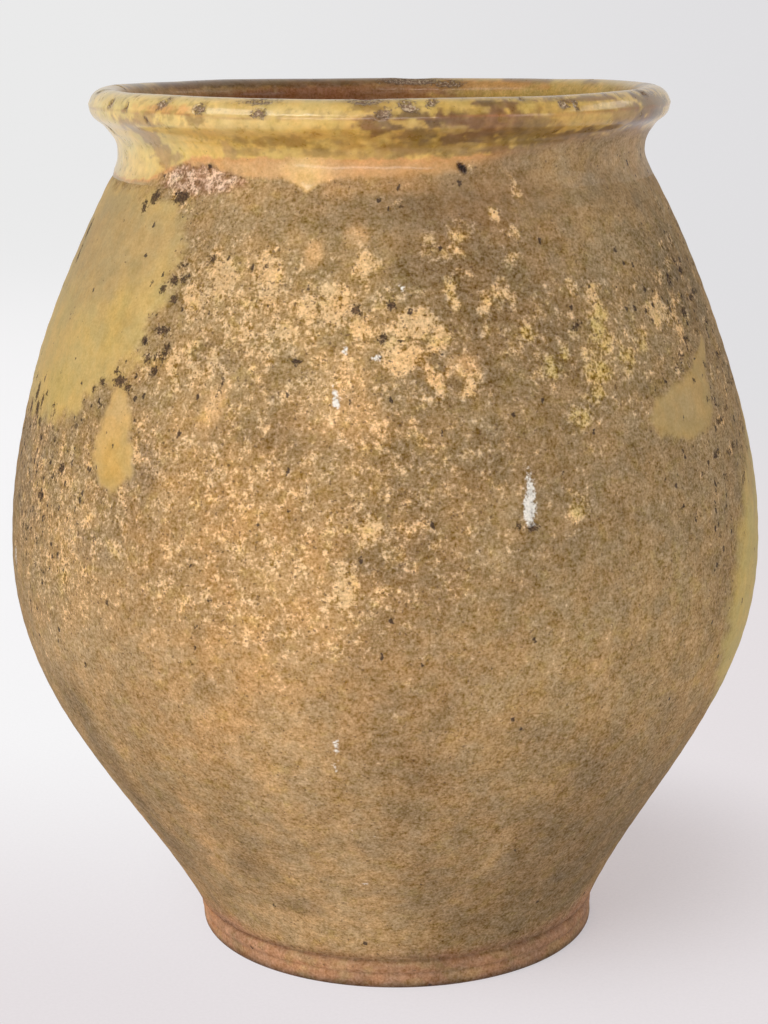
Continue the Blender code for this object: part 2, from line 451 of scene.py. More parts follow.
def marks(*rows: Sequence[float]) -> tuple[Blotch, ...]:
    """Return the marks written as rows of azimuth, height, half width, half height and tilt."""
    return tuple(Blotch(*row) for row in rows)


def washes(*rows: Sequence[Union[Tone, float]]) -> tuple[Wash, ...]:
    """Read a table of washes.

    Args:
        rows: Each has the target, the azimuth, the height, half the width, half the height and the
            strength, and maybe the softness, the raggedness and a tilt.

    Returns:
        The washes.
    """
    return tuple(Wash(row[0], Blotch(*row[1:5], *row[8:]), *row[5:8]) for row in rows)


# Pale clay that shows where the skin has flaked: the front, seen closely, from the shoulder down.
CREAM_MARKS = marks(
    (-20, 272.5, 5, 7), (-18.5, 266, 4, 4), (-28, 270, 6, 6), (-33, 263, 5, 4), (-3, 275, 3, 4),
    (-8, 263, 6, 6), (-12, 262, 4, 4), (5, 257, 7, 5), (9, 252, 4, 4), (3, 246, 7, 5), (-4, 256, 5, 4),
    (8, 237, 3, 5), (13, 236, 3, 3), (8, 282.5, 1.6, 1.4), (14, 284.5, 2.6, 2), (12.5, 279.5, 1.3, 1.5),
    (11, 277.5, 1.4, 1.2), (24, 283.7, 1.3, 1.2), (23, 277, 1.3, 1.1), (21, 290.5, 1.1, 1.1),
    (26.5, 297.5, 1, 1.6), (13, 271.5, 1.5, 1.5), (11.5, 268, 1.9, 1.7), (20, 266, 2.4, 1.8),
    (17, 262, 1.9, 2.3), (11.5, 262, 1.7, 2.3), (33.2, 264.5, 1.8, 1.8), (36.3, 264, 2.6, 2.2),
    (51.5, 254.5, 5, 5), (56, 252, 4, 4), (58, 256, 2, 2), (57, 246, 2, 2.5), (61, 268.5, 2, 1.6),
    (56.5, 266.5, 1.3, 1), (47.5, 263.5, 1.2, 1), (-48.2, 203, 1.8, 2.2), (-53, 196.5, 2, 1.6),
    (-55, 188, 2.4, 2), (-46, 187, 2, 2), (-51, 174, 1.7, 1.4), (-62, 198, 2.2, 1.6),
    (-38.4, 214, 1.5, 5), (-52, 163, 3, 4), (-40, 176, 2, 2), (-34, 242, 3, 3), (-30, 240, 3, 2.5),
    (-33, 236, 2.5, 2), (-27, 244, 2, 2), (-22, 253, 3, 2), (-16, 254, 3, 3), (-5, 172, 4, 8),
    (-2, 190, 3, 5),
)
# Yellowish films left in the pores right of the middle.
FILM_MARKS = marks(
    (36, 249, 5, 7), (41, 241, 4, 4), (35, 238, 6, 4), (23, 251.5, 3, 3), (28.5, 243.5, 3, 3),
    (26, 240, 4, 3), (28, 195, 3, 3), (33, 231, 4, 3), (38, 256, 3, 3), (45, 246, 3, 4), (30, 224, 4, 3),
)
# Burnt specks and pits.
PIT_MARKS = marks(
    (-42.5, 295, 3.2, 2.4), (-50, 294.5, 2.2, 2.6), (-52.5, 291, 1.4, 2.4, 30), (-31, 276, 1.6, 1.4),
    (-37, 273, 1.5, 0.8), (-38, 268, 1.8, 1.6), (-36, 269, 1.4, 1.2), (-40, 265, 1.2, 1.6),
    (-37, 262, 1.5, 1.3), (-37.8, 251.5, 3.6, 1.3), (-41, 247.5, 1.3, 1.3), (-36, 246, 1.6, 1.7),
    (-39.5, 242, 1.6, 1.5), (-36.4, 243, 1.3, 1.6), (-37.5, 238, 1.6, 1.4), (-44.5, 233.4, 3, 2),
    (-42.5, 231.7, 1.8, 1.2, -30), (-45.6, 236.2, 1.2, 1.1), (-48.5, 232, 1.8, 1.2), (-50.5, 229, 1, 1),
    (-25, 235.5, 0.7, 2.2, -12), (-22.8, 274, 0.9, 0.8), (-20.3, 274.2, 0.9, 0.8),
    (-4.3, 261, 1.7, 1.7), (1.2, 262.5, 1.8, 1.5), (0, 252, 1.7, 1.6), (-13.3, 244.5, 1.6, 1.2),
    (3, 294.5, 0.8, 0.8), (15.8, 306.5, 2.9, 1.3, -50), (32.5, 253.5, 1.9, 0.9, 30),
    (52.5, 234.5, 1.3, 0.8), (54.8, 238, 1.6, 0.7), (59.3, 263, 1.8, 1.8), (66.4, 265.5, 1.8, 1.6),
    (60.8, 251.5, 2, 1.8), (66.5, 255.6, 4, 1), (69, 257, 2.4, 1.1), (58, 242.7, 2, 1.4),
    (71, 233.5, 2.2, 1.5), (70.5, 220.8, 1.8, 1), (58.8, 201.6, 2.2, 1.6), (66.6, 201.7, 1.7, 1.2),
    (64.2, 200.6, 1.6, 0.9), (53.8, 196.6, 1.3, 0.8), (61, 193, 2.2, 0.8, -35), (57.4, 192, 1.6, 0.6),
    (50.2, 182.5, 0.9, 1.7), (62.8, 218.5, 1.2, 1), (66.7, 215.6, 2, 0.8, -25), (63.5, 244, 1.2, 0.8),
    (71, 246, 2.2, 0.8), (68.2, 229.6, 1.4, 0.6), (56.7, 174, 1.2, 0.8), (47.5, 188, 0.8, 0.9),
    (-67.5, 219, 1.4, 2.6), (-69.5, 216, 1.8, 3), (-71.5, 221, 1.8, 3.6), (-66.5, 212, 1.2, 2),
    (-74, 215, 2, 3), (-55.2, 199.5, 2, 2), (-57.5, 195.8, 2.6, 0.9, 12), (-61, 187.5, 2.4, 1.8),
    (-45, 178.6, 1.1, 1.4), (-49.3, 182.3, 0.9, 0.9), (-64.7, 207, 1.4, 1.2), (-53.2, 215.5, 1.1, 0.9),
    (-51.8, 217.8, 0.8, 0.7), (-48, 224, 1, 0.8), (-65.5, 173.5, 2, 0.7, 15), (-61.5, 171, 0.8, 1.4),
    (-61.5, 162, 1.4, 0.8), (-27, 176, 1, 0.9), (-24, 165, 0.9, 0.9), (-26, 155, 0.8, 0.8),
    (-26.5, 148.5, 0.8, 1.2), (18.4, 190.4, 1.2, 0.8), (20.6, 189.4, 2.2, 1.6), (-78, 279, 1.6, 4),
    (-77, 270, 1.4, 3.5),
)
# White flecks of lime and paint.
CHALK_MARKS = marks(
    (20.2, 195.6, 2.4, 5.6), (20.5, 201, 1.6, 7), (-7.2, 234.5, 0.9, 2.4), (-6.9, 231.6, 1.5, 1.9),
    (-5.8, 248.5, 0.9, 1.3), (-1.2, 246, 1.3, 0.9), (-73, 158.5, 1.6, 4.5), (-7, 114, 0.8, 2.6),
    (-2.4, 74, 1.4, 0.7), (-6, 77, 1.8, 0.5, -20), (3, 268, 0.8, 1), (-7.4, 106, 0.7, 1.6),
    (-3.8, 76.5, 0.8, 0.6), (-5.4, 50, 0.9, 0.6),
)
# Broad tones of the wall, from the neck down to the foot: patina, a darker band just under the collar,
# and painted shade that darkens the lower right.
WALL_WASHES = washes(
    (Tone.LICHEN, 48, 235, 85, 90, 0.85, 1.0, 0.2),
    (Tone.WARM_SAND, -20, 158, 75, 62, 0.85, 1.0, 0.25),
    (Tone.PALE_SAND, -56, 160, 55, 55, 0.6),
    # A darker band just under the collar.
    (Tone.UMBER, 14, 297, 78, 14, 0.85, 1.4),
    (Tone.PALE_SAND, -34, 293, 24, 12, 0.5, 1.4, 0.5),
    (Tone.SLIP, 6, 300.5, 20, 3.6, 0.45, 1.5, 0.5),
    (Tone.SAND, 34, 301, 24, 9, 0.6, 1.4, 0.5),
    (Tone.RUSSET, 19, 281, 30, 26, 0.75),
    (Tone.UMBER, 15, 272, 22, 10, 0.4),
    (Tone.LICHEN, 46, 275, 38, 22, 0.5),
    (Tone.DARK_PATINA_AND_SHADE, 62, 258, 24, 20, 0.6, 1.4),
    (Tone.DARK_PATINA_AND_SHADE, -18, 240, 8, 14, 0.4, 1.4, 0.6),
    (Tone.DARK_PATINA_AND_SHADE, 5, 288, 7, 9, 0.35, 1.4, 0.6),
    (Tone.DARK_PATINA_AND_SHADE, 6, 240, 5, 12, 0.35, 1.4, 0.6),
    (Tone.DARK_PATINA_AND_SHADE, -6, 176, 6, 8, 0.4, 1.4, 0.6),
    (Tone.DARK_PATINA_AND_SHADE, 18, 176, 6, 9, 0.4, 1.4, 0.6),
    (Tone.DARK_PATINA_AND_SHADE, 30, 248, 6, 9, 0.4, 1.4, 0.6),
    (Tone.PALE_SAND, 50, 288, 18, 9, 0.4, 1.4),
    (Tone.PALE_SAND, -27, 256, 26, 24, 0.5, 1.4, 0.6),
    (Tone.DARK_PATINA_AND_SHADE, 24, 252, 26, 22, 0.55, 1.3, 0.6),
    (Tone.UMBER, 25, 205, 36, 40, 0.45, 1.0, 0.5),
    (Tone.UMBER, 18, 252, 34, 24, 0.7, 1.3, 0.4),
    (Tone.UMBER, 4, 158, 26, 40, 0.5, 1.3, 0.4),
    (Tone.UMBER, -2, 222, 34, 34, 0.45, 1.4, 0.6),
    (Tone.UMBER, 8, 186, 26, 26, 0.45, 1.4, 0.6),
    (Tone.PALE_SAND, 64, 303, 26, 9, 0.8, 1.3),
    (Tone.PALE_SAND, -44, 36, 46, 44, 0.7, 1.3),
    (Tone.UMBER, -17, 222, 22, 6, 0.6, 1.0, 0.6),
    (Tone.UMBER, -27, 246, 12, 6, 0.5, 1.0, 0.6),
    (Tone.UMBER, -40, 205, 14, 26, 0.35, 1.0, 0.6),
    (Tone.PEACH, -25.5, 229, 4, 9, 0.7, 0.9, 0.35, -25),
    (Tone.PEACH, -6, 238, 12, 14, 0.35, 1.0, 0.7),
    (Tone.PEACH, -4.5, 284, 4, 3, 0.5, 1.0, 0.6),
    (Tone.PEACH, -12, 278, 3, 5, 0.6, 1.0, 0.6),
    (Tone.PEACH, 12, 243, 4, 3, 0.5, 1.0, 0.6),
    (Tone.ASH, -36.5, 204, 6, 9, 0.6, 1.0, 0.5),
    (Tone.ASH, -45, 175, 10, 7, 0.6, 1.0, 0.5),
    (Tone.ASH, -70, 200, 20, 26, 0.6, 1.0, 0.5),
    # Painted shade: the lower right of the wall, turned away from the lamps, made darker.
    (Tone.DARK_PATINA_AND_SHADE, 42, 52, 62, 52, 0.7, 1.3),
    (Tone.UMBER, 14, 70, 30, 44, 0.3, 1.3),
    (Tone.PALE_SAND, -13, 62, 20, 70, 0.75, 1.2),
    (Tone.PALE_SAND, -10, 84, 110, 40, 0.15, 1.4),
    # Painted shade: the lower right of the wall, turned away from the lamps, made darker.
    (Tone.UMBER, 30, 56, 30, 44, 0.4, 1.4),
    (Tone.DARK_PATINA_AND_SHADE, -55, 74, 9, 46, 0.55, 1.4, 0.6),
    (Tone.PEACH, -37.5, 64, 5, 20, 0.35, 1.3, 0.7, -14),
    (Tone.DARK_PATINA_AND_SHADE, -30, 54, 7, 9, 0.5, 1.3, 0.8),
    (Tone.DARK_PATINA_AND_SHADE, -22.6, 36, 9, 4, 0.5, 1.3, 0.8),
    (Tone.DARK_PATINA_AND_SHADE, -8, 61, 4, 2.5, 0.5, 1.3, 0.8),
    (Tone.UMBER, 1, 118, 24, 56, 0.35, 1.4, 0.6),
    (Tone.UMBER, 6, 82, 14, 26, 0.35, 1.4, 0.7),
    (Tone.DARK_PATINA_AND_SHADE, -58, 114, 13, 12, 0.5, 1.4, 0.6),
    (Tone.PALE_SAND, -62, 138, 22, 14, 0.6, 1.4),
    (Tone.PALE_SAND, 49, 110, 18, 12, 0.4, 1.4),
    # Painted shade: the lower right of the wall, turned away from the lamps, made darker.
    (Tone.DARK_PATINA_AND_SHADE, 50, 46, 18, 13, 0.5, 1.4),
    (Tone.PALE_SAND, -2, 38, 18, 28, 0.3, 1.3),
    (Tone.PALE_SAND, -42, 142, 40, 26, 0.5, 1.3),
    (Tone.PEACH, 31, 136, 5, 10, 0.3, 1.0, 0.5),
    (Tone.PALE_SAND, 19.5, 61, 4, 13, 0.6, 1.2, 0.6, -20),
)
# How much bare clay shows through the patina; 0 is half of it, and each 1 is one spread of the grain.
BARE_ZONES = washes(
    (-0.85, -12, 215, 85, 80, 1.0, 1.4),
    (-0.6, -14, 256, 42, 22, 1.0, 1.0, 0.6),
    (-0.4, -24, 266, 26, 13, 1.0, 1.0, 0.6),
    (-0.75, -14, 172, 55, 42, 0.8, 1.2),
    (-1.5, 18, 240, 20, 50, 0.6, 1.2, 0.6),
    (-0.6, -56, 180, 48, 46, 1.0, 1.2),
    (-0.6, 36, 246, 26, 18, 1.0, 1.2, 0.6),
    (-1.0, 46, 256, 42, 26, 0.8, 1.2),
    (-1.2, -17, 222, 20, 6, 0.8, 1.0, 0.6),
    (-3.2, 26, 292, 72, 20, 0.9, 1.3),
    (-1.6, -25.5, 229, 5, 10, 1.0, 0.9, 0.35, -25),
    (-2.5, -26, 128, 66, 20, 0.85, 1.2, 0.6),
    (-2.2, 12, 140, 26, 30, 0.6, 1.3, 0.6),
)
# Tones of the clay that shows.
BARE_WASHES = washes(
    (Tone.PEACH, -20, 188, 58, 62, 0.35, 1.4, 0.9),
    (Tone.PEACH, -4, 240, 22, 22, 0.5, 1.4, 0.9),
    (Tone.FLAKE, -28, 254, 26, 24, 0.8, 1.4, 0.6),
)
# Where burnt specks crowd, and the crusted patch under the lip.
SPECK_PLACES = marks((66, 222, 40, 70), (-64, 196, 44, 46), (-70, 212, 24, 24), (-40, 250, 9, 36))
CRATER = Blotch(-40.0, 301.3, 17.0, 4.6)

# Where the peach fringe of the collar ends and where its thick glaze ends, as azimuth and height.
FRINGE_LINE = (
    (-180, 303), (-140, 301.5), (-110, 303), (-82, 299.6), (-66, 298.2), (-57, 299), (-48, 301.6),
    (-40, 303.4), (-28, 303.2), (-20, 303), (-17.4, 301.4), (-14.7, 298.8), (-12, 301.2), (-9, 303),
    (4, 303.4), (12, 304.6), (19, 308), (28, 310.6), (36, 312.6), (46, 314.6), (62, 315.6), (80, 313),
    (105, 304), (140, 302), (180, 303),
)
GLAZE_LINE = (
    (-180, 307), (-140, 305), (-110, 306), (-82, 300), (-66, 298.6), (-57, 299.6), (-48, 304.5),
    (-41, 308.6), (-30, 309.4), (-10, 309.6), (8, 309.4), (18, 310), (27, 312), (36, 313.6), (46, 315.6),
    (62, 316.6), (80, 315), (105, 308), (140, 306), (180, 307),
)
# Tones of the collar, from the neck's edge up to the crest, then inside the mouth; the pale band on the
# bead's top is partly a painted highlight.
COLLAR_WASHES = washes(
    # Partly painted highlight: a paler, less saturated band along the bead's top, where the lamps'
    # highlight falls, over the glaze's own pale tone.
    (Tone.HONEY_PALE, -30, 327, 60, 4, 0.6, 1.2),
    (Tone.HONEY_PALE, -36, 321, 36, 3.6, 0.8, 1.4),
    (Tone.HONEY_PALE, -60, 304, 30, 5, 0.7, 1.4),
    (Tone.HONEY_LIGHT, -60, 317, 38, 13, 0.75, 1.4),
    (Tone.HONEY_DEEP, -4, 316.6, 66, 2.2, 0.6, 1.8, 0.9),
    (Tone.HONEY_DEEP, 16, 322, 42, 10, 0.6, 1.4, 0.6),
    (Tone.HONEY_DEEP, 0, 312.6, 34, 3.4, 0.8, 1.4, 0.9),
    (Tone.HONEY_DEEP, 8, 318.5, 18, 6, 0.6, 1.3, 0.8),
    (Tone.BROWN_FILM, 7, 313, 16, 3, 0.5, 1.4, 0.9),
    (Tone.OLIVE_FILM, -18, 315.5, 14, 1.8, 0.7, 1.0, 1.0),
    (Tone.OLIVE_FILM, -12, 311.8, 8, 1.2, 0.6, 1.0, 1.0),
    (Tone.OLIVE_FILM, -27, 311.6, 5, 1.6, 0.6, 1.0, 1.0),
    (Tone.AMBER, -44, 325.6, 14, 1.4, 0.75, 1.0, 0.6),
    (Tone.BEIGE_FILM, -52, 313, 16, 5, 0.8, 0.6, 0.9, -40),
    (Tone.BEIGE_FILM, -48.5, 321.4, 5.5, 2.8, 0.7, 0.6, 0.9),
    (Tone.BEIGE_FILM, -31, 312.5, 2.2, 3.4, 0.6, 0.55, 0.9),
    (Tone.BROWN_FILM, -35, 322.6, 4.4, 1.8, 0.55, 0.55, 0.7),
    (Tone.OLIVE_FILM, 21, 318, 25, 7.5, 0.7, 0.8, 0.8),
    (Tone.BROWN_FILM, -0.6, 321.4, 5.5, 3.2, 0.8, 0.55, 0.7),
    (Tone.BROWN_FILM, 7, 317.6, 7, 4.6, 0.7, 0.55, 0.8),
    (Tone.BROWN_FILM, -3, 327.5, 6, 1.2, 0.5, 0.55, 0.7),
    (Tone.BROWN_FILM, 17, 322.4, 17, 4.2, 0.92, 0.55, 0.6),
    (Tone.BROWN_FILM, 27, 319.6, 14, 4.6, 0.9, 0.55, 0.6),
    (Tone.BROWN_FILM, 21, 327.4, 7, 2.2, 0.8, 0.55, 0.7),
    (Tone.OLIVE_FILM, 11, 314.6, 12, 4.4, 0.85, 1.0, 0.8),
    (Tone.BROWN_FILM, 17, 316.4, 14, 2.6, 0.85, 0.55, 0.9),
    (Tone.BROWN_FILM, 64, 324, 16, 6, 0.8, 0.55, 0.6),
    (Tone.BROWN_FILM, 53, 321, 12, 6, 0.6, 0.55, 0.6),
    (Tone.BROWN_FILM, 6, 324.4, 8, 1.6, 0.8, 0.55, 0.8),
    (Tone.BROWN_FILM, 24, 311.4, 9, 1.5, 0.8, 0.55, 0.8),
    (Tone.HONEY, 17, 326, 4, 1.2, 0.6, 1.0, 0.7),
    (Tone.HONEY, 8, 329, 8, 1.2, 0.7, 1.0, 0.6),
    (Tone.OLIVE, 13, 319.6, 5, 1.4, 0.5, 1.0, 0.9),
    (Tone.OLIVE_DULL, 17, 313, 6, 1.6, 0.8, 1.0, 0.9),
    (Tone.HONEY_DEEP, 40, 321, 26, 6, 0.5, 1.0, 0.5),
    (Tone.BROWN_FILM, 60, 317.4, 14, 3.4, 0.85, 0.55, 0.6, 14),
    (Tone.BROWN_FILM, 38, 315.4, 24, 2.6, 0.85, 0.9, 0.8, 6),
    (Tone.OLIVE_FILM, 27, 314.6, 12, 2.6, 0.6, 1.2, 0.8, 5),
    (Tone.BROWN_FILM, 42, 328.6, 18, 1.0, 0.7, 0.55, 0.7),
    (Tone.OXBLOOD, 196, 337, 60, 5.5, 0.85, 1.0, 0.3),
    (Tone.BEIGE_FILM, 232, 332, 44, 3.4, 0.7, 0.55, 0.5),
    (Tone.BROWN_FILM, 205, 331, 70, 2.2, 0.8, 0.55, 0.4),
    (Tone.CARAMEL, 172, 336, 24, 6, 0.6, 1.0, 0.5),
    (Tone.HONEY, 130, 335, 50, 7, 0.8, 1.0, 0.4),
    (Tone.AMBER, 150, 332.5, 26, 2, 0.7, 1.0, 0.5),
)
# Chips in the glaze of the lip.
COLLAR_CHIPS = marks(
    (-61.8, 326.2, 1.9, 1.5, 30), (-43.6, 327.2, 2.6, 1.2, 25), (-34.2, 326.2, 2.4, 1.5),
    (-22.5, 328.9, 3.6, 0.6), (-21.9, 325.2, 2.6, 1.5), (0.6, 325.2, 2.6, 1.5, 20),
    (-2.5, 329.4, 4.6, 0.8), (5.1, 327.6, 3.2, 1.7, -20), (9.5, 328.6, 1.8, 1, 20),
    (35.6, 327.2, 2, 1.5), (38.4, 326.8, 0.6, 1.4), (-70.9, 316.1, 2.2, 0.9, -60),
    (-76.1, 329.3, 2, 0.6), (27, 329.4, 0.9, 0.5), (172, 331, 11, 1.4), (163, 332.2, 6, 1.2),
    (62, 328.8, 2, 0.8), (-54.5, 325.2, 0.7, 1.4, 20), (-48, 321.3, 0.8, 1, 30),
)


class JarShape:
    """The jar's turned outline, on the same curves as the CAD solids.

    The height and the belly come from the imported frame; the rest are the potter's proportions. The
    corner at the neck is eased, and the lip stands a touch to one side, as thrown. The small turned
    forms are written as their relief, their height and their half width; on the foot the height counts
    up from the table, and on the lip it counts from the crest.
    """

    FOOT_RADIUS = 0.0788
    FOOT_HEIGHT = 0.0117
    FOOT_ROUND = 0.0022
    FOOT_LINE = (-0.0004, 0.0062, 0.0008)
    FOOT_SWELL = (0.0004, 0.0085, 0.0022)
    GROOVE_DEPTH = 0.0014
    GROOVE_WIDTH = 0.0026
    GROOVE_PLACE = FOOT_HEIGHT - 0.0003
    GROOVE_SHARE = 0.36
    FOOT_OFFSET = 0.0044
    LEAN_HEIGHT = 0.150
    LIP_OFFSET = -0.0008
    NECK_OFFSET = 0.0004
    NECK_LEAN = 0.030
    NECK_LEAN_DROP = 0.020
    LIP_LEAN_START = -0.010
    LIP_LEAN_END = -0.008
    WAIST_RADIUS = 0.0800
    WAIST_SLOPE = math.radians(23.0)
    BELLY_HEIGHT = 0.154
    NECK_RADIUS = 0.0989
    NECK_EASE = 0.0036
    WAIST_PULL = 0.31
    BELLY_PULL_DOWN = 0.40
    BELLY_PULL_UP = 0.48
    COLLAR_HEIGHT = 0.026
    LIP_RADIUS = 0.1092
    LIP_BEAD = 0.0065
    LIP_CREASE = (-0.0006, -0.0128, 0.0018)
    LIP_RIDGE = (0.0003, -0.0058, 0.0009)
    BEAD_START = math.radians(-50.0)
    BEAD_END = math.radians(185.0)
    FLARE_PULL = 0.40
    THROAT_RADIUS = 0.0879
    THROAT_EASE = 0.020
    WALL = 0.0102
    WAIST_WALL = 0.0142
    FLOOR = 0.0140
    FLOOR_TOP = 0.0152
    FLOOR_ROUND = 0.0188
    OUTER_STEPS = 1200
    CURVE_STEPS = 300
    BEAD_STEPS = 80
    THROAT_STEPS = 60
    BASE_STEPS = 12
    EDGE_STEPS = 6
    SIDE_STEPS = 25
    NEAR = 1e-9

    def __init__(self) -> None:
        """Read the two driving sizes from the frame and draw the outer curve, waist to bead."""
        low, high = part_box("clay_body")
        self.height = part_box("rim_glaze")[1].z
        self.belly_radius = (high.y - low.y) / 2
        self.neck_height = self.height - self.COLLAR_HEIGHT
        self.waist_height = self.FOOT_HEIGHT + self.GROOVE_WIDTH / 2 - FOOT_DROP
        self.bead_centre = np.array([self.LIP_RADIUS - self.LIP_BEAD, self.height - self.LIP_BEAD])
        rise = self.BELLY_HEIGHT - self.waist_height
        climb = self.neck_height - self.BELLY_HEIGHT
        waist = np.array([self.WAIST_RADIUS, self.waist_height])
        belly = np.array([self.belly_radius, self.BELLY_HEIGHT])
        neck = np.array([self.NECK_RADIUS, self.neck_height])
        slope = np.array([math.sin(self.WAIST_SLOPE), math.cos(self.WAIST_SLOPE)])
        leaving = waist + self.WAIST_PULL * rise * slope
        self.reach = self.FLARE_PULL * (self.COLLAR_HEIGHT - self.LIP_BEAD)
        start = self.bead_centre + self.LIP_BEAD * self._toward(self.BEAD_START)
        rising = self._toward(self.BEAD_START + math.pi / 2)
        curves = (
            (waist, leaving, belly - (0.0, self.BELLY_PULL_DOWN * rise), belly),
            (belly, belly + (0.0, self.BELLY_PULL_UP * climb), neck, neck),
            (neck, neck + (0.0, self.reach), start - self.reach * rising, start),
        )
        drawn = np.vstack([cubic_curve(corners, self.CURVE_STEPS) for corners in curves])
        self.outer = self._eased(even_steps(drawn, self.OUTER_STEPS))

    @staticmethod
    def _toward(angle: float) -> np.ndarray:
        """Return the unit vector at an angle."""
        return np.array([math.cos(angle), math.sin(angle)])

    @staticmethod
    def _turned(form: tuple[float, float, float], height: np.ndarray) -> np.ndarray:
        """Return a small turned form's relief at heights."""
        relief, place, width = form
        return relief * bell(height - place, width)

    def _eased(self, path: np.ndarray) -> np.ndarray:
        """Round the corner at the neck.

        Args:
            path: Points of equal spacing.

        Returns:
            The path moved towards its bell-weighted mean, all the way at the neck.
        """
        step = np.linalg.norm(path[1] - path[0])
        reach = int(3 * self.NECK_EASE / step)
        weights = bell(np.arange(-reach, reach + 1) * step, math.sqrt(2.0) * self.NECK_EASE)
        weights /= weights.sum()
        padded = np.pad(path, ((reach, reach), (0, 0)), mode="edge")
        mean = np.stack([np.convolve(padded[:, axis], weights, "valid") for axis in (0, 1)], axis=1)
        return toward(path, bell(path[:, 1] - self.neck_height, 2 * self.NECK_EASE), mean)

    def wall_radius(self, z: np.ndarray) -> np.ndarray:
        """Return the outer radius at heights between the waist and the bead."""
        return np.interp(z, self.outer[:, 1], self.outer[:, 0])

    def wall(self, low: float, high: float, count: int) -> np.ndarray:
        """Return count points of the outer curve between two heights, evenly spaced along it."""
        inside = (self.outer[:, 1] >= low - self.NEAR) & (self.outer[:, 1] <= high + self.NEAR)
        return even_steps(self.outer[inside], count)

    def lean(self, z: np.ndarray) -> np.ndarray:
        """Find how far the axis is shifted towards +X.

        Args:
            z: Heights in metres.

        Returns:
            The sum of a parabola over the foot, a bell at the neck and an ease at the lip.
        """
        foot = self.FOOT_OFFSET * np.clip(1.0 - np.asarray(z) / self.LEAN_HEIGHT, 0.0, 1.0) ** 2
        over_neck = np.asarray(z) - self.neck_height + self.NECK_LEAN_DROP
        neck = self.NECK_OFFSET * bell(over_neck, self.NECK_LEAN)
        start, end = self.neck_height + self.LIP_LEAN_START, self.height + self.LIP_LEAN_END
        return foot + neck + self.LIP_OFFSET * smoothstep(start, end, z)

    def foot(self) -> np.ndarray:
        """Draw the foot's outline.

        Returns:
            (radius, z) points: base, rounded edge, a turned line, a swell and the groove.
        """
        turn = np.linspace(0.0, math.pi / 2, self.EDGE_STEPS)
        edge = np.stack([
            self.FOOT_RADIUS - self.FOOT_ROUND * (1 - np.sin(turn)), self.FOOT_ROUND * (1 - np.cos(turn))
        ], axis=1)
        radius = np.linspace(0.0, edge[0, 0], self.BASE_STEPS + 1)[:-1]
        base = np.stack([radius, np.zeros_like(radius)], axis=1)
        z = np.linspace(self.FOOT_ROUND, self.waist_height + FOOT_DROP, self.SIDE_STEPS)[1:-1]
        groove = (-self.GROOVE_DEPTH, self.GROOVE_PLACE, self.GROOVE_WIDTH * self.GROOVE_SHARE)
        relief = sum(self._turned(form, z) for form in (self.FOOT_LINE, groove, self.FOOT_SWELL))
        side = np.stack([self.FOOT_RADIUS + relief, z], axis=1)
        return np.vstack([base, edge, side]) - (0.0, FOOT_DROP)

    def collar(self, depth: float, steps: int) -> np.ndarray:
        """Return the lip's outline from the neck over the bead into the throat.

        Args:
            depth: How deep the outline lies under the glazed skin.
            steps: How many points to return.

        Returns:
            (radius, z) points: the flare, an arc round the bead and a fall to the throat. A soft
            crease under the bead and a slight ridge at its widest stand on the outside.
        """
        flare = self.outer[self.outer[:, 1] >= self.neck_height] - (depth, 0.0)
        angles = np.linspace(self.BEAD_START, self.BEAD_END, self.BEAD_STEPS)
        arc = np.stack([np.cos(angles), np.sin(angles)], axis=1)
        bead = self.bead_centre + (self.LIP_BEAD - depth) * arc
        throat = np.array([self.THROAT_RADIUS + depth, self.neck_height])
        falling = self._toward(self.BEAD_END + math.pi / 2)
        handles = (bead[-1] + self.reach * falling, throat + (0.0, self.reach))
        inside = cubic_curve((bead[-1], *handles, throat), self.THROAT_STEPS)
        path = even_steps(np.vstack([flare, bead[1:], inside[1:]]), steps)
        forms = (self.LIP_CREASE, self.LIP_RIDGE)
        relief = sum(self._turned(form, path[:, 1] - self.height) for form in forms)
        path[:, 0] += np.where(path[:, 0] > self.bead_centre[0], relief, 0.0)
        return path

    def inside(self, inset: float, wall_steps: int, bowl_steps: int, floor_steps: int) -> np.ndarray:
        """Return the hollow's outline from the throat down to the axis.

        Args:
            inset: How far inside the lining's skin the outline lies; negative is into the clay.
            wall_steps: Points down the wall.
            bowl_steps: Points round the bend at the floor.
            floor_steps: Points across the floor.

        Returns:
            (radius, z) points: the wall less its thickness, a round and the flat floor.
        """
        round_top = self.FLOOR_TOP + self.FLOOR_ROUND
        z = np.linspace(self.neck_height, round_top, wall_steps)
        share = np.clip((z - self.FLOOR) / (self.BELLY_HEIGHT - self.FLOOR), 0.0, 1.0)
        radius = self.wall_radius(z) - (self.WAIST_WALL + (self.WALL - self.WAIST_WALL) * share)
        narrowing = smoothstep(self.neck_height - self.THROAT_EASE, self.neck_height, z)
        radius -= (radius[0] - self.THROAT_RADIUS) * narrowing
        turn = np.linspace(0.0, math.pi / 2, bowl_steps + 1)[1:]
        hollow = self.FLOOR_ROUND - inset
        bowl = np.stack([
            radius[-1] - self.FLOOR_ROUND + hollow * np.cos(turn), round_top - hollow * np.sin(turn)
        ], axis=1)
        across = np.linspace(bowl[-1, 0], 0.0, floor_steps + 1)[1:]
        floor = np.stack([across, np.full_like(across, bowl[-1, 1])], axis=1)
        return np.vstack([np.stack([radius - inset, z], axis=1), bowl, floor])


def azimuths(count: int, crowding: float) -> np.ndarray:
    """Return azimuths all round in degrees, closer together at the front.

    Args:
        count: How many.
        crowding: Share by which the spacing shrinks at the front and grows at the back.

    Returns:
        The angle u less crowding times sin u, from -180 degrees on.
    """
    turn = np.linspace(-math.pi, math.pi, count, endpoint=False)
    return np.degrees(turn - crowding * np.sin(turn))


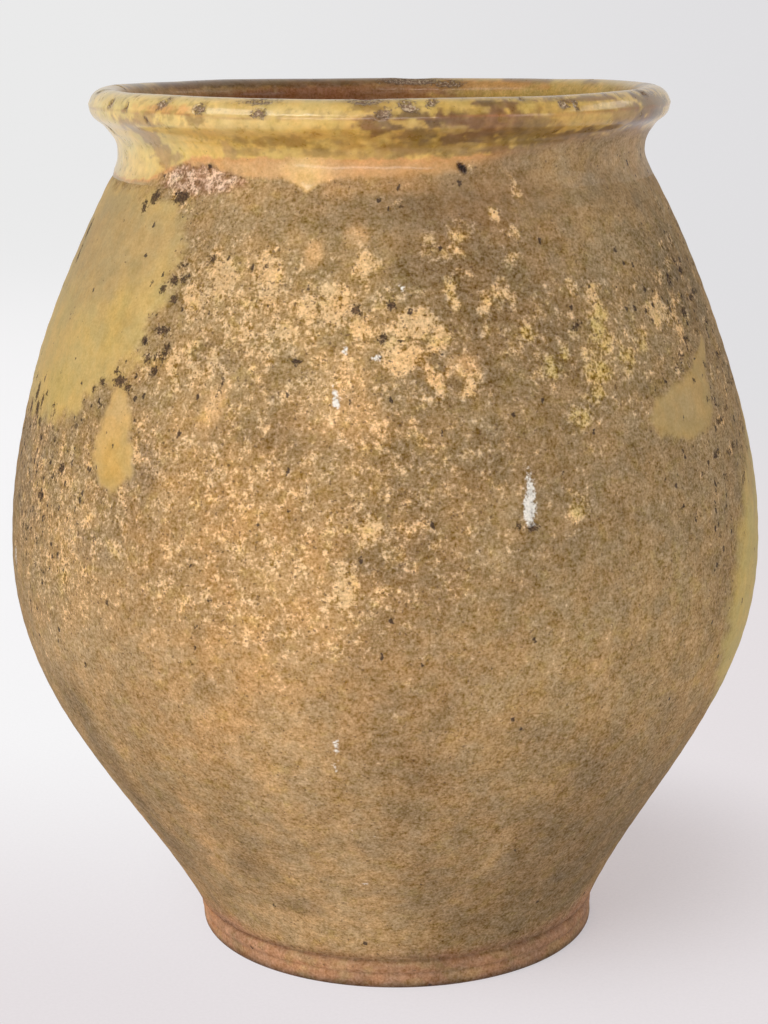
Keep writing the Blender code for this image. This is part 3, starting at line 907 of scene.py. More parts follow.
def along(line: Sequence[Sequence[float]], azimuth: np.ndarray) -> np.ndarray:
    """Return a line's height at azimuths, straight between its knots."""
    knots = np.asarray(line, dtype=float)
    return np.interp(from_front(azimuth), knots[:, 0], knots[:, 1])


Layers = dict[str, np.ndarray]


def overlaid(under: Layers, share: np.ndarray, over: Mapping[str, Target]) -> Layers:
    """Lay some layers over others.

    Args:
        under: The layers below.
        share: How far each point is covered, 0 to 1.
        over: What covers it, for the layers that change.

    Returns:
        All the layers.
    """
    covered = {name: toward(under[name], share, value) for name, value in over.items()}
    return {**under, **covered}


def surface_mesh(name: str, points: np.ndarray, layers: Layers, ring: bool = False) -> bpy.types.Mesh:
    """Make a closed mesh of a grid whose columns join end to end, and store its layers.

    Args:
        name: The mesh's name.
        points: Rows by columns by 3. Without ring, the first and the last row are poles.
        layers: A number or a colour for each point, by name.
        ring: Whether the last row joins the first one instead.

    Returns:
        The smooth-shaded mesh: quads between rows, and a fan of triangles at each pole.
    """

    def packed(values: np.ndarray) -> np.ndarray:
        """Flatten a grid.

        Args:
            values: One value for each point.

        Returns:
            The values row by row, with the mean of each pole row at the end.
        """
        if ring:
            return values.reshape(-1, *values.shape[2:])
        poles = np.stack([values[0].mean(axis=0), values[-1].mean(axis=0)])
        return np.concatenate([values[1:-1].reshape(-1, *values.shape[2:]), poles])

    columns = points.shape[1]
    rows = points.shape[0] if ring else points.shape[0] - 2
    index = np.arange(rows * columns).reshape(rows, columns)
    lower, upper = (index, np.roll(index, -1, axis=0)) if ring else (index[:-1], index[1:])
    quads = np.stack([lower, np.roll(lower, -1, axis=1), np.roll(upper, -1, axis=1), upper], axis=-1)
    faces = quads.reshape(-1, 4).tolist()
    if not ring:
        start, end = index[0], index[-1]
        first, last = np.full(columns, index.size), np.full(columns, index.size + 1)
        faces += np.stack([np.roll(start, -1), start, first], axis=1).tolist()
        faces += np.stack([end, np.roll(end, -1), last], axis=1).tolist()
    mesh = bpy.data.meshes.new(name)
    mesh.from_pydata(packed(points).tolist(), [], faces)
    mesh.shade_smooth()
    mesh.update()
    for layer, values in layers.items():
        flat = packed(values)
        colour = flat.ndim == 2
        if colour:
            flat = np.concatenate([flat, np.ones((len(flat), 1))], axis=1)
        kind, slot = ("FLOAT_COLOR", "color") if colour else ("FLOAT", "value")
        mesh.attributes.new(layer, kind, "POINT").data.foreach_set(slot, flat.astype(np.float32).ravel())
    return mesh


Value = Union["Wire", float, Sequence[float]]


class Wire:
    """A node's output, with operators that add Math nodes."""

    def __init__(self, paint: Paint, socket: bpy.types.NodeSocket) -> None:
        """Keep the socket and the paint whose nodes it belongs to."""
        self.paint = paint
        self.socket = socket

    def _math(self, operation: str, first: Value, second: Value) -> Wire:
        """Add one Math node."""
        return self.paint.node("ShaderNodeMath", {0: first, 1: second}, {"operation": operation})

    def __add__(self, other: Value) -> Wire:
        """Return the sum."""
        return self._math("ADD", self, other)

    def __sub__(self, other: Value) -> Wire:
        """Return the difference."""
        return self._math("SUBTRACT", self, other)

    def __mul__(self, other: Value) -> Wire:
        """Return the product."""
        return self._math("MULTIPLY", self, other)

    def __truediv__(self, other: Value) -> Wire:
        """Return the quotient."""
        return self._math("DIVIDE", self, other)

    def __rsub__(self, other: Value) -> Wire:
        """Return the reflected difference."""
        return self._math("SUBTRACT", other, self)

    __radd__ = __add__
    __rmul__ = __mul__

    def at_least(self, other: Value) -> Wire:
        """Return the greater of the two."""
        return self._math("MAXIMUM", self, other)

    def below(self, other: Value) -> Wire:
        """Return 1 where this is less than the other, else 0."""
        return self._math("LESS_THAN", self, other)


class Paint:
    """A material whose node tree is written as expressions."""

    EVEN_LIFT = 0.18
    DARKEST = (0.012, 0.008, 0.005)
    SPECK_CORE = 0.6

    def __init__(self, name: str) -> None:
        """Start an empty material.

        Args:
            name: The material's name.
        """
        self.material = bpy.data.materials.new(name)
        self.material.use_nodes = True
        self.tree = self.material.node_tree
        self.tree.nodes.clear()
        self.place = self.node("ShaderNodeTexCoord", output="Object")

    def node(
        self,
        kind: str,
        sockets: Optional[Mapping[Union[str, int], Value]] = None,
        settings: Optional[Mapping[str, object]] = None,
        output: Union[str, int] = 0,
    ) -> Optional[Wire]:
        """Add any node.

        Args:
            kind: The node's type.
            sockets: Values or wires for its inputs.
            settings: Its own settings, set first.
            output: The output to return.

        Returns:
            The chosen output, or None from a node that has none.
        """
        made = self.tree.nodes.new(kind)
        for name, value in (settings or {}).items():
            setattr(made, name, value)
        for key, value in (sockets or {}).items():
            if isinstance(value, Wire):
                self.tree.links.new(value.socket, made.inputs[key])
            else:
                made.inputs[key].default_value = value
        return Wire(self, made.outputs[output]) if made.outputs else None

    def number(self, name: str) -> Wire:
        """Return a number that the mesh stores."""
        return self.node("ShaderNodeAttribute", settings={"attribute_name": name}, output="Fac")

    def colour(self, name: str) -> Wire:
        """Return a colour that the mesh stores."""
        return self.node("ShaderNodeAttribute", settings={"attribute_name": name}, output="Color")

    def vector(self, operation: str, *values: Value) -> Wire:
        """Add one Vector Math node for values in the order of its inputs."""
        return self.node("ShaderNodeVectorMath", dict(enumerate(values)), {"operation": operation})

    def stretched(self, x: float, y: float, z: float) -> Wire:
        """Return the place with each axis multiplied, so that a pattern runs along one of them."""
        return self.vector("MULTIPLY", self.place, (x, y, z))

    def grain(
        self, size_mm: float, detail: float = 2.0, roughness: float = 0.5, place: Optional[Wire] = None
    ) -> Wire:
        """Make cloud noise.

        Args:
            size_mm: Size of its largest grains.
            detail: How many finer layers it has.
            roughness: How strong each is compared with the one before.
            place: Where it is read.

        Returns:
            Values of about -0.5 to 0.5.
        """
        sockets = {
            "Vector": place or self.place,
            "Scale": 1.0 / (size_mm * MM),
            "Detail": detail,
            "Roughness": roughness,
        }
        return self.node("ShaderNodeTexNoise", sockets) - 0.5

    def step(self, value: Wire, low: float, high: float) -> Wire:
        """Ease from 0 at low to 1 at high."""
        sockets = {"Value": value, "From Min": low, "From Max": high}
        return self.node("ShaderNodeMapRange", sockets, {"interpolation_type": "SMOOTHSTEP"})

    def blend(self, share: Value, under: Value, over: Value) -> Wire:
        """Mix two colours."""
        return self.node("ShaderNodeMix", {0: share, 6: under, 7: over}, {"data_type": "RGBA"}, output=2)

    def scaled(self, colour: Value, factor: Wire) -> Wire:
        """Multiply a colour by a number."""
        shade = colour if isinstance(colour, Wire) else colour[:3]
        return self.node("ShaderNodeVectorMath", {0: shade, "Scale": factor}, {"operation": "SCALE"})

    def grained(self, colour: Wire, amount: Wire) -> Wire:
        """Lighten or darken a colour by nearly the same visible step in each channel.

        Args:
            colour: The colour g in linear light.
            amount: The step; 0 leaves the colour as it is.

        Returns:
            (g + h)(1 + amount) - h, where h is the lift that evens out the channels.
        """
        lift = (self.EVEN_LIFT,) * 3
        scaled = self.scaled(self.vector("ADD", colour, lift), 1.0 + amount)
        return self.vector("MAXIMUM", self.vector("SUBTRACT", scaled, lift), self.DARKEST)

    def tinted(self, colour: Wire, tint: Wire) -> Wire:
        """Multiply a colour by a colour."""
        return self.vector("MULTIPLY", colour, tint)

    def shaken(self, place: Wire, size_mm: float, reach_mm: float) -> Wire:
        """Push a place about by noise, so that what is read there is ragged.

        Args:
            place: The place.
            size_mm: Size of the noise.
            reach_mm: How far it pushes at most.

        Returns:
            The place that was pushed.
        """
        sockets = {"Vector": self.place, "Scale": 1.0 / (size_mm * MM)}
        noise = self.node("ShaderNodeTexNoise", sockets, output="Color")
        return self.vector("MULTIPLY_ADD", noise, (reach_mm * MM,) * 3, place)

    def specks(self, size_mm: float, radius: float, density: Wire, place: Optional[Wire] = None) -> Wire:
        """Scatter round specks.

        Args:
            size_mm: Size of the cells, each of which may hold one speck.
            radius: The speck's radius as a share of the cell.
            density: Share of the cells that hold one.
            place: Where to read the cells.

        Returns:
            1 inside a speck, else 0.
        """
        sockets = {"Vector": place or self.place, "Scale": 1.0 / (size_mm * MM)}
        distance = self.node("ShaderNodeTexVoronoi", sockets, output="Distance")
        cell = self.node("ShaderNodeTexVoronoi", sockets, output="Color")
        chance = self.node("ShaderNodeSeparateColor", {0: cell})
        return (1.0 - self.step(distance, self.SPECK_CORE * radius, radius)) * chance.below(density)

    def surface(self, shader: Wire) -> bpy.types.Material:
        """Link a shader to the material's surface and return the material."""
        self.node("ShaderNodeOutputMaterial", {"Surface": shader})
        return self.material


@dataclass(frozen=True)
class JarFinish:
    """Clay and glaze in one skin, so that each runs into the other without a seam.

    The mesh stores the ground colour, how glossy it is, how much bare clay shows through and how deep
    inside a pit or a fleck each point lies.

    Attributes:
        slot: The material's name.
        roughness: Of clean glaze.
        coat: Weight of the glossy top layer on glaze.
        clouding: Strength of the tone changes in glaze.
        pit_dark: Darker colour inside pits.
        pit_light: Lighter colour inside pits.
    """

    slot: str
    roughness: float = 0.45
    coat: float = 0.0
    clouding: float = 0.4
    pit_dark: Tone = Tone.SOOT
    pit_light: Tone = Tone.GRIT

    CLAY_ROUGHNESS = 0.88
    SPECULAR = 0.3
    COAT_ROUGHNESS = 0.1
    NO_TINT = (1.0, 1.0, 1.0, 1.0)
    COOL_TINT = (0.94, 0.97, 1.01, 1.0)
    WARM_TINT = (1.07, 1.02, 0.96, 1.0)
    MOSS_TINT = (0.99, 1.0, 0.82, 1.0)

    def material(self) -> bpy.types.Material:
        """Build the material.

        Returns:
            Patina, bare clay, grit, pits, specks and chalk, one over the other.
        """
        paint = Paint(self.slot)
        gloss = paint.number("gloss")
        matt = 1.0 - gloss
        fine = paint.grain(0.95, 2.0, 0.6)
        pore = paint.grain(2.0, 2.0, 0.6)
        mottle = paint.grain(5.0, 3.0, 0.6)
        brushed = paint.grain(1.5, 1.0, 0.5, paint.stretched(0.4, 0.4, 1.5))
        cloud = paint.grain(11.0, 3.0, 0.6)

        tone = matt * (fine * 1.05 + pore * 0.65 + brushed * 0.2 + mottle * 0.45)
        tone = tone + gloss * (mottle * 0.6 * self.clouding + fine * 0.2 * self.clouding)
        worn = paint.number("bare")
        patches = paint.step(worn + mottle * 6.5 + pore * 1.5, -1.2, 1.2)
        bare = paint.step(worn + mottle * 6.0 + pore * 5.0 + fine * 3.5, -0.9, 1.0)
        colour = paint.blend(patches * 0.9, paint.colour("ground"), paint.colour("bare_tone"))
        colour = paint.grained(colour, tone + (bare - patches) * 0.42)
        moss = paint.step(paint.grain(6.5, 3.0, 0.6, paint.stretched(1.0, 1.0, 1.2)), 0.03, 0.2)
        colour = paint.tinted(colour, paint.blend(matt * moss, self.NO_TINT, self.MOSS_TINT))
        warm = paint.step(cloud, -0.14, 0.14)
        colour = paint.tinted(colour, paint.blend(warm, self.COOL_TINT, self.WARM_TINT))
        grit_grain = paint.grain(1.3, 2.0, 0.6, paint.stretched(1.0, 1.0, 1.13))
        grit = paint.step(grit_grain * 9.0 + matt * 0.8 + bare * 0.25, 1.9, 2.7)
        colour = paint.blend(grit * 0.7, colour, Tone.GRIT.rgba)

        depth = paint.number("pit") + paint.grain(1.1, 3.0, 0.75) * 6.5
        pit = paint.step(depth, -0.3, 0.7)
        hollow = paint.blend(paint.step(fine, -0.06, 0.16), self.pit_dark.rgba, self.pit_light.rgba)
        colour = paint.blend(pit * 0.9, colour, hollow)
        burnt = paint.number("specks")
        ragged = paint.shaken(paint.place, 1.0, 1.6)
        pricks = paint.specks(1.9, 0.3, burnt * 0.5 + matt * paint.step(worn, -1.9, -0.2) * 0.4, ragged)
        colour = paint.blend(pricks * 0.7, colour, Tone.GRIT.rgba)
        ragged = paint.shaken(paint.stretched(1.0, 1.0, 0.65), 1.2, 2.2)
        specks = paint.specks(3.4, 0.28, burnt, ragged)
        colour = paint.blend(specks * 0.85, colour, Tone.SOOT.rgba)
        chalk = paint.step(paint.number("chalk") + pore * 2.4 + fine * 3.0, -0.3, 0.8)
        powder = paint.scaled(Tone.CHALK.rgba, 0.94 + fine * 1.0 + pore * 0.6)
        colour = paint.blend(chalk * 0.9, colour, powder)

        clean = gloss * (1.0 - pit) * (1.0 - bare)
        smoothed = clean * (self.CLAY_ROUGHNESS - self.roughness)
        roughness = self.CLAY_ROUGHNESS - smoothed + clean * mottle * 0.2
        height = matt * (fine * 0.14 + pore * 0.30 + mottle * 0.2) + gloss * mottle * 0.12
        height = height + bare * pore * 0.3 - pit * 0.35 - specks * 0.2 + chalk * 0.1
        normal = paint.node("ShaderNodeBump", {"Height": height, "Distance": MM})
        return paint.surface(paint.node("ShaderNodeBsdfPrincipled", {
            "Base Color": colour, "Roughness": roughness, "Normal": normal,
            "Specular IOR Level": self.SPECULAR,
            "Coat Weight": clean * self.coat, "Coat Roughness": self.COAT_ROUGHNESS,
        }))


class Finish(Enum):
    """The jar's finishes, one for each material."""

    CLAY = JarFinish("fired_clay")
    LINING = JarFinish("lining_glaze", 0.26, 0.45, 0.8)
    HONEY = JarFinish("honey_glaze", 0.3, 0.42, 0.8, Tone.CHIP_DARK, Tone.CHIP)
    OLIVE = JarFinish("olive_glaze", 0.55, 0.05, 0.45)
    OCHRE = JarFinish("ochre_glaze", 0.5, 0.1, 0.45)


def add_piece(name: str, mesh: bpy.types.Mesh, finish: Finish, node: str) -> None:
    """Put a piece on the jar's only body, in place of a CAD node.

    Args:
        name: The piece's name.
        mesh: Its mesh, in place.
        finish: Its finish.
        node: The CAD node that it stands for.
    """
    mesh.materials.append(finish.value.material())
    piece = bpy.data.objects.new(name, mesh)
    bpy.context.scene.collection.objects.link(piece)
    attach(piece, BODY)
    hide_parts(node)
    LOG.info("%s: %d vertices, stands for %s", name, len(mesh.vertices), node)


def scatter(
    seed: int,
    count: int,
    heights: tuple[float, float],
    sizes: tuple[float, float],
    turns: tuple[float, float] = (88.0, 272.0),
) -> tuple[Blotch, ...]:
    """Return random marks, by default round the back of the jar, which no view of the front shows.

    Args:
        seed: Any whole number.
        count: How many marks.
        heights: Lowest and highest place in millimetres.
        sizes: Least and greatest half size in millimetres.
        turns: Least and greatest azimuth.

    Returns:
        The marks.
    """
    draw = np.random.default_rng(seed)
    azimuth = draw.uniform(*turns, count)
    height = draw.uniform(*heights, count)
    size = sizes[0] * (sizes[1] / sizes[0]) ** draw.uniform(0.0, 1.0, (count, 2))
    return tuple(Blotch(*row) for row in np.column_stack([azimuth, height, size]).tolist())


@dataclass
class ClayVessel:
    """The thrown jar: base, foot, wall, lip core and hollow, as one closed skin.

    Attributes:
        shape: The turned outline.
        columns: Points round the jar.
        lower_rows: Rows from the waist to the belly.
        upper_rows: Rows from the belly to the neck.
        crowding: How much closer the columns stand at the front.
        coat: How far the clay stands back under the collar.
        core: How deep it lies under the lip's glaze.
        lining: How deep it lies under the hollow's glaze.
        pit_depth: Depth of the pits.
    """

    shape: JarShape
    columns: int = 440
    lower_rows: int = 54
    upper_rows: int = 108
    crowding: float = 0.5
    coat: float = 0.0005
    core: float = 0.0022
    lining: float = 0.0035
    pit_depth: float = 0.0005

    WAVE_RELIEF = 0.00035
    RING_RELIEF = 0.00006
    RING_PITCH = 7.5
    DENT_RELIEF = 0.00008
    FOOT_BAND = (8.0, 13.0)
    PIT_FLOOR = 20.0
    # Rows of the lip's core, then of the hollow: down its wall, round its bend and across its floor.
    CORE_ROWS = 14
    HOLLOW_ROWS = (8, 5, 1)
    # Where the clay steps back under the collar, counted from the neck.
    COAT_BAND = (-0.007, -0.002)
    BACK_TONES = (Tone.UMBER, Tone.WARM_SAND, Tone.LICHEN, Tone.ASH)
    # Dark lines round the foot, as strength and millimetres over the table.
    FOOT_LINES = ((0.7, 11.3), (0.4, 13.2), (0.4, 6.2))
    FOOT_LINE_WIDTH = 0.5

    def relief(self, skin: Skin) -> np.ndarray:
        """Work out the wall's unevenness.

        Args:
            skin: Points of the smooth wall.

        Returns:
            Slow waves, throwing rings and small dents in metres, fading out over the foot.
        """
        points = skin.points
        waves = self.WAVE_RELIEF * RELIEF.at(points, 70.0, 2)
        phase = skin.height * FULL_TURN / self.RING_PITCH + 2.0 * RELIEF.at(points, 60.0, 1)
        rings = self.RING_RELIEF * np.sin(phase)
        dents = self.DENT_RELIEF * RELIEF.at(points, 9.0, 2)
        return (waves + rings + dents) * smoothstep(12.0, 30.0, skin.height)

    def wall_skin(self, azimuth: np.ndarray, z: np.ndarray) -> Skin:
        """Return points of the uneven outer wall at azimuths in degrees and heights in metres."""
        smooth = Skin(azimuth, z / MM, self.shape.wall_radius(z), z, self.shape.lean(z))
        return Skin(azimuth, z / MM, smooth.radius + self.relief(smooth), z, smooth.shift)

    def _skin(self) -> Skin:
        """Lay out the whole surface.

        Returns:
            Its points, from the centre of the base to the centre of the floor inside.
        """
        shape = self.shape
        foot = shape.foot()
        lower = shape.wall(shape.waist_height, shape.BELLY_HEIGHT, self.lower_rows)
        upper = shape.wall(shape.BELLY_HEIGHT, shape.neck_height, self.upper_rows)
        wall = np.vstack([lower, upper[1:]])
        core = shape.collar(self.core, self.CORE_ROWS)[1:-1]
        path = np.vstack([foot, wall, core, shape.inside(-self.lining, *self.HOLLOW_ROWS)])
        azimuth, radius = np.meshgrid(azimuths(self.columns, self.crowding), path[:, 0])
        z = np.repeat(path[:, 1:], self.columns, axis=1)
        row = np.arange(len(path))[:, None]
        on_wall = (row >= len(foot)) & (row < len(foot) + len(wall))
        uneven = self.wall_skin(azimuth, np.clip(z, shape.waist_height, shape.neck_height))
        start, end = (shape.neck_height + place for place in self.COAT_BAND)
        back = self.coat * smoothstep(start, end, z)
        return Skin(azimuth, z / MM, np.where(on_wall, uneven.radius - back, radius), z, shape.lean(z))

    def _ground(self, skin: Skin, slow: np.ndarray) -> np.ndarray:
        """Mix the wall's colour: patina, with painted light and shade on the foot and the lower right.

        Args:
            skin: The points.
            slow: Noise that makes the edges of the washes ragged.

        Returns:
            Linear colours: sand, the washes with painted shade on the lower right, the foot with painted
                light and shade, the dark lines, a painted contact shadow and clouds of three sizes.
        """
        points = skin.points
        colour = Tone.SAND.flooded(skin.azimuth.shape)
        for stain in WALL_WASHES:
            colour = stain.over(colour, skin, slow)
        for number, place in enumerate(scatter(5, 16, (30.0, 290.0), (18.0, 60.0))):
            tone = self.BACK_TONES[number % len(self.BACK_TONES)]
            colour = Wash(tone, place, strength=0.6, softness=1.2, ragged=0.4).over(colour, skin, slow)
        over_table = skin.height + FOOT_DROP / MM
        sides = smoothstep(25.0, 60.0, np.abs(skin.azimuth))
        foot = 1.0 - smoothstep(9.0, 20.0, over_table - 5.0 * sides + 4.0 * slow)
        # Painted shade: the foot's red grows darker towards the right side, away from the lamps.
        shaded = 0.9 * smoothstep(-80.0, 45.0, skin.azimuth)
        red = toward(Tone.EARTH.flooded(skin.azimuth.shape), shaded, Tone.EARTH_SHADED)
        # Painted light: the foot's red is paler towards its left and right sides, as if lit by light
        # bounced off the floor.
        red = red * (1.0 + 0.25 * smoothstep(40.0, 70.0, np.abs(skin.azimuth)))[..., None]
        worn = smoothstep(0.0, 0.5, EDGES.at(points, 9.0, 3, 1.6))
        colour = toward(colour, (0.9 - 0.5 * worn) * foot, red)
        width = self.FOOT_LINE_WIDTH
        lines = sum(depth * bell(over_table - place, width) for depth, place in self.FOOT_LINES)
        # Painted contact shadow: darker at the bottom of the foot where it meets the table.
        contact_shade = 1.5 * (1.0 - smoothstep(0.6, 4.5, over_table))
        dark = np.maximum(lines * (over_table > 3.0), contact_shade)
        clouds = 0.12 * CLOUDS.at(points, 45.0, 2) + 0.11 * CLOUDS.at(points, 14.0, 2, 1.3)
        clouds += 0.10 * EDGES.at(points, 5.5, 2, 1.4)
        return colour * ((1.0 - 0.45 * dark) * (1.0 + clouds))[..., None]

    def _on_foot(self, skin: Skin) -> np.ndarray:
        """Return how far each point belongs to the foot, 0 to 1."""
        return 1.0 - smoothstep(*self.FOOT_BAND, skin.height)

    def _bare(
        self, skin: Skin, slow: np.ndarray, ragged: np.ndarray, crater: np.ndarray
    ) -> tuple[np.ndarray, np.ndarray]:
        """Work out where the clay shows through the patina.

        Args:
            skin: The points.
            slow: Noise for the edges of the zones.
            ragged: Finer noise for the edges of the marks.
            crater: Level of the crusted patch in millimetres.

        Returns:
            How much bare clay shows at each point, as in BARE_ZONES, and its linear colour.
        """
        bare = -2.8 + 0.5 * smoothstep(110.0, 170.0, skin.height)
        for zone in BARE_ZONES:
            bare = zone.over(bare, skin, slow)
        bare = toward(bare, self._on_foot(skin), -4.5)
        hidden = smoothstep(72.0, 95.0, np.abs(from_front(skin.azimuth)))
        bare = toward(bare, hidden * smoothstep(100.0, 150.0, skin.height), -1.2 + 1.1 * slow)
        tone = Tone.CREAM.flooded(slow.shape)
        for stain in BARE_WASHES:
            tone = stain.over(tone, skin, slow)
        cream = highest(CREAM_MARKS + scatter(7, 34, (140.0, 290.0), (1.2, 7.0)), skin)
        film = highest(FILM_MARKS + scatter(8, 14, (160.0, 280.0), (2.0, 6.0)), skin)
        bare = np.maximum(bare, np.minimum(0.6 * cream + 0.9 * ragged, 1.5))
        bare = np.maximum(bare, np.minimum(0.4 * film + 0.9 * ragged - 0.3, 0.3))
        tone = toward(tone, smoothstep(-2.0, 1.0, film + ragged), Tone.OLIVE)
        bare = toward(bare, smoothstep(-1.5, 0.5, crater), -0.2)
        return bare, toward(tone, smoothstep(-1.0, 1.0, crater), Tone.PINK_CLAY)

    def layers(self, skin: Skin) -> Layers:
        """Dress points of the outer wall as clay.

        Args:
            skin: The points.

        Returns:
            The layers that the finishes read.
        """
        points = skin.points
        slow = EDGES.at(points, 26.0, 4)
        ragged = EDGES.at(points, 6.0, 3)
        crater = CRATER.level(skin) + 1.5 * ragged
        bare, tone = self._bare(skin, slow, ragged, crater)
        pits = PIT_MARKS + scatter(9, 90, (150.0, 292.0), (0.8, 2.6))
        pits += scatter(15, 34, (186.0, 288.0), (0.6, 1.5), (56.0, 80.0))
        pits += scatter(16, 30, (160.0, 226.0), (0.6, 1.5), (-82.0, -58.0))
        pit = highest(pits, skin)
        halo = smoothstep(-2.6, -1.2, pit + 0.5 * ragged) * smoothstep(180.0, 200.0, skin.height)
        bare = np.maximum(bare, 3.2 * halo - 4.0 + 0.8 * ragged)
        density = [smoothstep(-0.6, 0.5, mark.level(skin) / mark.half_width) for mark in SPECK_PLACES]
        specks = 0.012 + 0.03 * smoothstep(130.0, 190.0, skin.height)
        specks += 0.3 * smoothstep(-1.0, 0.5, crater)
        specks += 0.5 * np.max(density, axis=0)
        neck = 0.35 * smoothstep(276.0, 298.0, skin.height) * smoothstep(-12.0, 14.0, skin.azimuth)
        ground = self._ground(skin, slow)
        return {
            "ground": toward(ground, smoothstep(-1.5, 0.5, crater), Tone.CRATER_DARK),
            "bare": bare,
            "bare_tone": tone,
            "pit": pit,
            "chalk": highest(CHALK_MARKS + scatter(10, 3, (90.0, 220.0), (0.8, 2.0)), skin),
            "specks": specks,
            "gloss": 0.3 * self._on_foot(skin) + neck,
        }

    def build(self) -> None:
        """Make the vessel and dress it."""
        skin = self._skin()
        layers = self.layers(skin)
        pits = smoothstep(-0.3, 0.9, layers["pit"]) * (skin.height > self.PIT_FLOOR)
        skin.radius = skin.radius - self.pit_depth * pits
        mesh = surface_mesh("clay_vessel", skin.points, layers)
        add_piece("clay_vessel", mesh, Finish.CLAY, "clay_body")


@dataclass
class LipCollar:
    """The coat of honey glaze over the lip and the neck, from the shoulder into the throat.

    Attributes:
        vessel: The clay under it.
        columns: Points round the lip.
        skirt_rows: Rows between the lower end and the neck.
        lip_rows: Rows over the lip.
        back_rows: Rows of the hidden face against the clay.
        lower_end: Height where the coat has run out into the clay.
        film: Thickness of the glaze where it is full.
        shell: How deep the hidden face lies under the lip.
        crowding: How much closer the columns stand at the front.
        chip_depth: Depth of the chips.
        crust: Depth of the crusted patch.
    """

    vessel: ClayVessel
    columns: int = 820
    skirt_rows: int = 18
    lip_rows: int = 92
    back_rows: int = 10
    lower_end: float = 0.2966
    film: float = 0.0004
    shell: float = 0.0018
    crowding: float = 0.42
    chip_depth: float = 0.0007
    crust: float = 0.0006

    # Heights and azimuths: past every mark, where wall turns into lip, where the lip starts to dip,
    # the crest and how far round it chips turn, the bead's ridge and the end of the front.
    HIDDEN = 420.0
    NECK_BAND = (304.0, 312.0)
    DIP_BAND = (312.0, 326.0)
    DIP_END = 345.0
    CREST = 330.0
    CREST_REACH = 4.0
    RIDGE = 323.8
    FRONT_END = 90.0
    FINE_WAVE = 0.00012
    SLOW_WAVE = 0.00018
    DIP = 0.0004
    DIP_MEAN = 0.0001
    TILT = 0.00025
    SINK = 0.0009
    SINK_REACH = 0.5

    def _skin(self) -> tuple[Skin, np.ndarray]:
        """Lay out the closed shell.

        The skirt rides a hair over the clay and sinks into it at its lower end. The lip is the
        turned outline with slow waves, and its front and back dip a little below its sides.

        Returns:
            Its points, and which of them lie on the outer face.
        """
        shape = self.vessel.shape
        turn = azimuths(self.columns, self.crowding)
        skirt_z = np.linspace(self.lower_end, shape.neck_height, self.skirt_rows + 1)[:-1]
        lip = shape.collar(0.0, self.lip_rows)
        back = shape.collar(self.shell, self.back_rows)[::-1]
        z = np.concatenate([skirt_z, lip[:, 1], back[:, 1]])[:, None] * np.ones(self.columns)
        crest = self.skirt_rows + int(np.argmax(lip[:, 1]))
        row = np.arange(len(z))[:, None]
        face = row < self.skirt_rows + self.lip_rows
        height = np.where(row > crest, 2 * shape.height - z, z) / MM
        height = np.where(face, height, self.HIDDEN)
        outline = np.concatenate([shape.wall_radius(skirt_z), lip[:, 0], back[:, 0]])
        radius = outline[:, None] * np.ones(self.columns)
        skin = Skin(np.broadcast_to(turn, z.shape).copy(), height, radius, z, shape.lean(z))
        points = skin.points
        on_wall = 1.0 - smoothstep(*self.NECK_BAND, height)
        slow = RELIEF.at(points, 38.0, 2)
        waves = self.FINE_WAVE * RELIEF.at(points, 11.0, 2) + self.SLOW_WAVE * slow
        relief = on_wall * self.vessel.relief(skin) + (1 - on_wall) * waves
        skin.radius = radius + np.where(face, relief, 0.0)
        dip = self.DIP * np.cos(2.0 * np.radians(skin.azimuth)) + self.DIP_MEAN
        on_lip = smoothstep(*self.DIP_BAND, np.minimum(height, self.DIP_END))
        skin.z = z + np.where(face, (self.TILT * slow - dip) * on_lip, 0.0)
        return skin, face

    def _honey(self, skin: Skin) -> np.ndarray:
        """Mix the glaze's colour.

        Args:
            skin: The points.

        Returns:
            Linear colours: honey, caramel inside, the washes and a red line on the ridge.
        """
        points = skin.points
        ragged = EDGES.at(points, 5.0, 4, 1.4)
        slow = CLOUDS.at(points, 24.0, 3, 1.8)
        turn = from_front(skin.azimuth)
        inner = smoothstep(329.0, 334.0, skin.height)
        colour = toward(Tone.HONEY.flooded(turn.shape), 0.7 * inner, Tone.CARAMEL)
        for stain in COLLAR_WASHES:
            colour = stain.over(colour, skin, ragged)
        stained = 1.0 - smoothstep(0.14, 0.3, colour[..., 1])
        colour = toward(colour, 0.2 * stained * smoothstep(-0.1, 0.4, slow), Tone.RUST)
        hidden = smoothstep(75.0, 100.0, np.abs(turn)) * (1.0 - inner)
        colour = toward(colour, 0.8 * hidden * smoothstep(0.0, 0.3, slow), Tone.BROWN_FILM)
        spots = smoothstep(0.35, 0.7, EDGES.at(points, 3.2, 3) + 0.4 * slow) * (1.0 - inner)
        colour = toward(colour, 0.4 * spots, Tone.OLIVE_FILM)
        ridge = bell(skin.height - self.RIDGE - 0.3 * slow, 0.36) * smoothstep(-0.4, 0.3, ragged + 0.4)
        colour = toward(colour, 0.6 * ridge * (1.0 - inner), Tone.RUST)
        return colour * (1.0 + 0.08 * slow + 0.07 * ragged)[..., None]

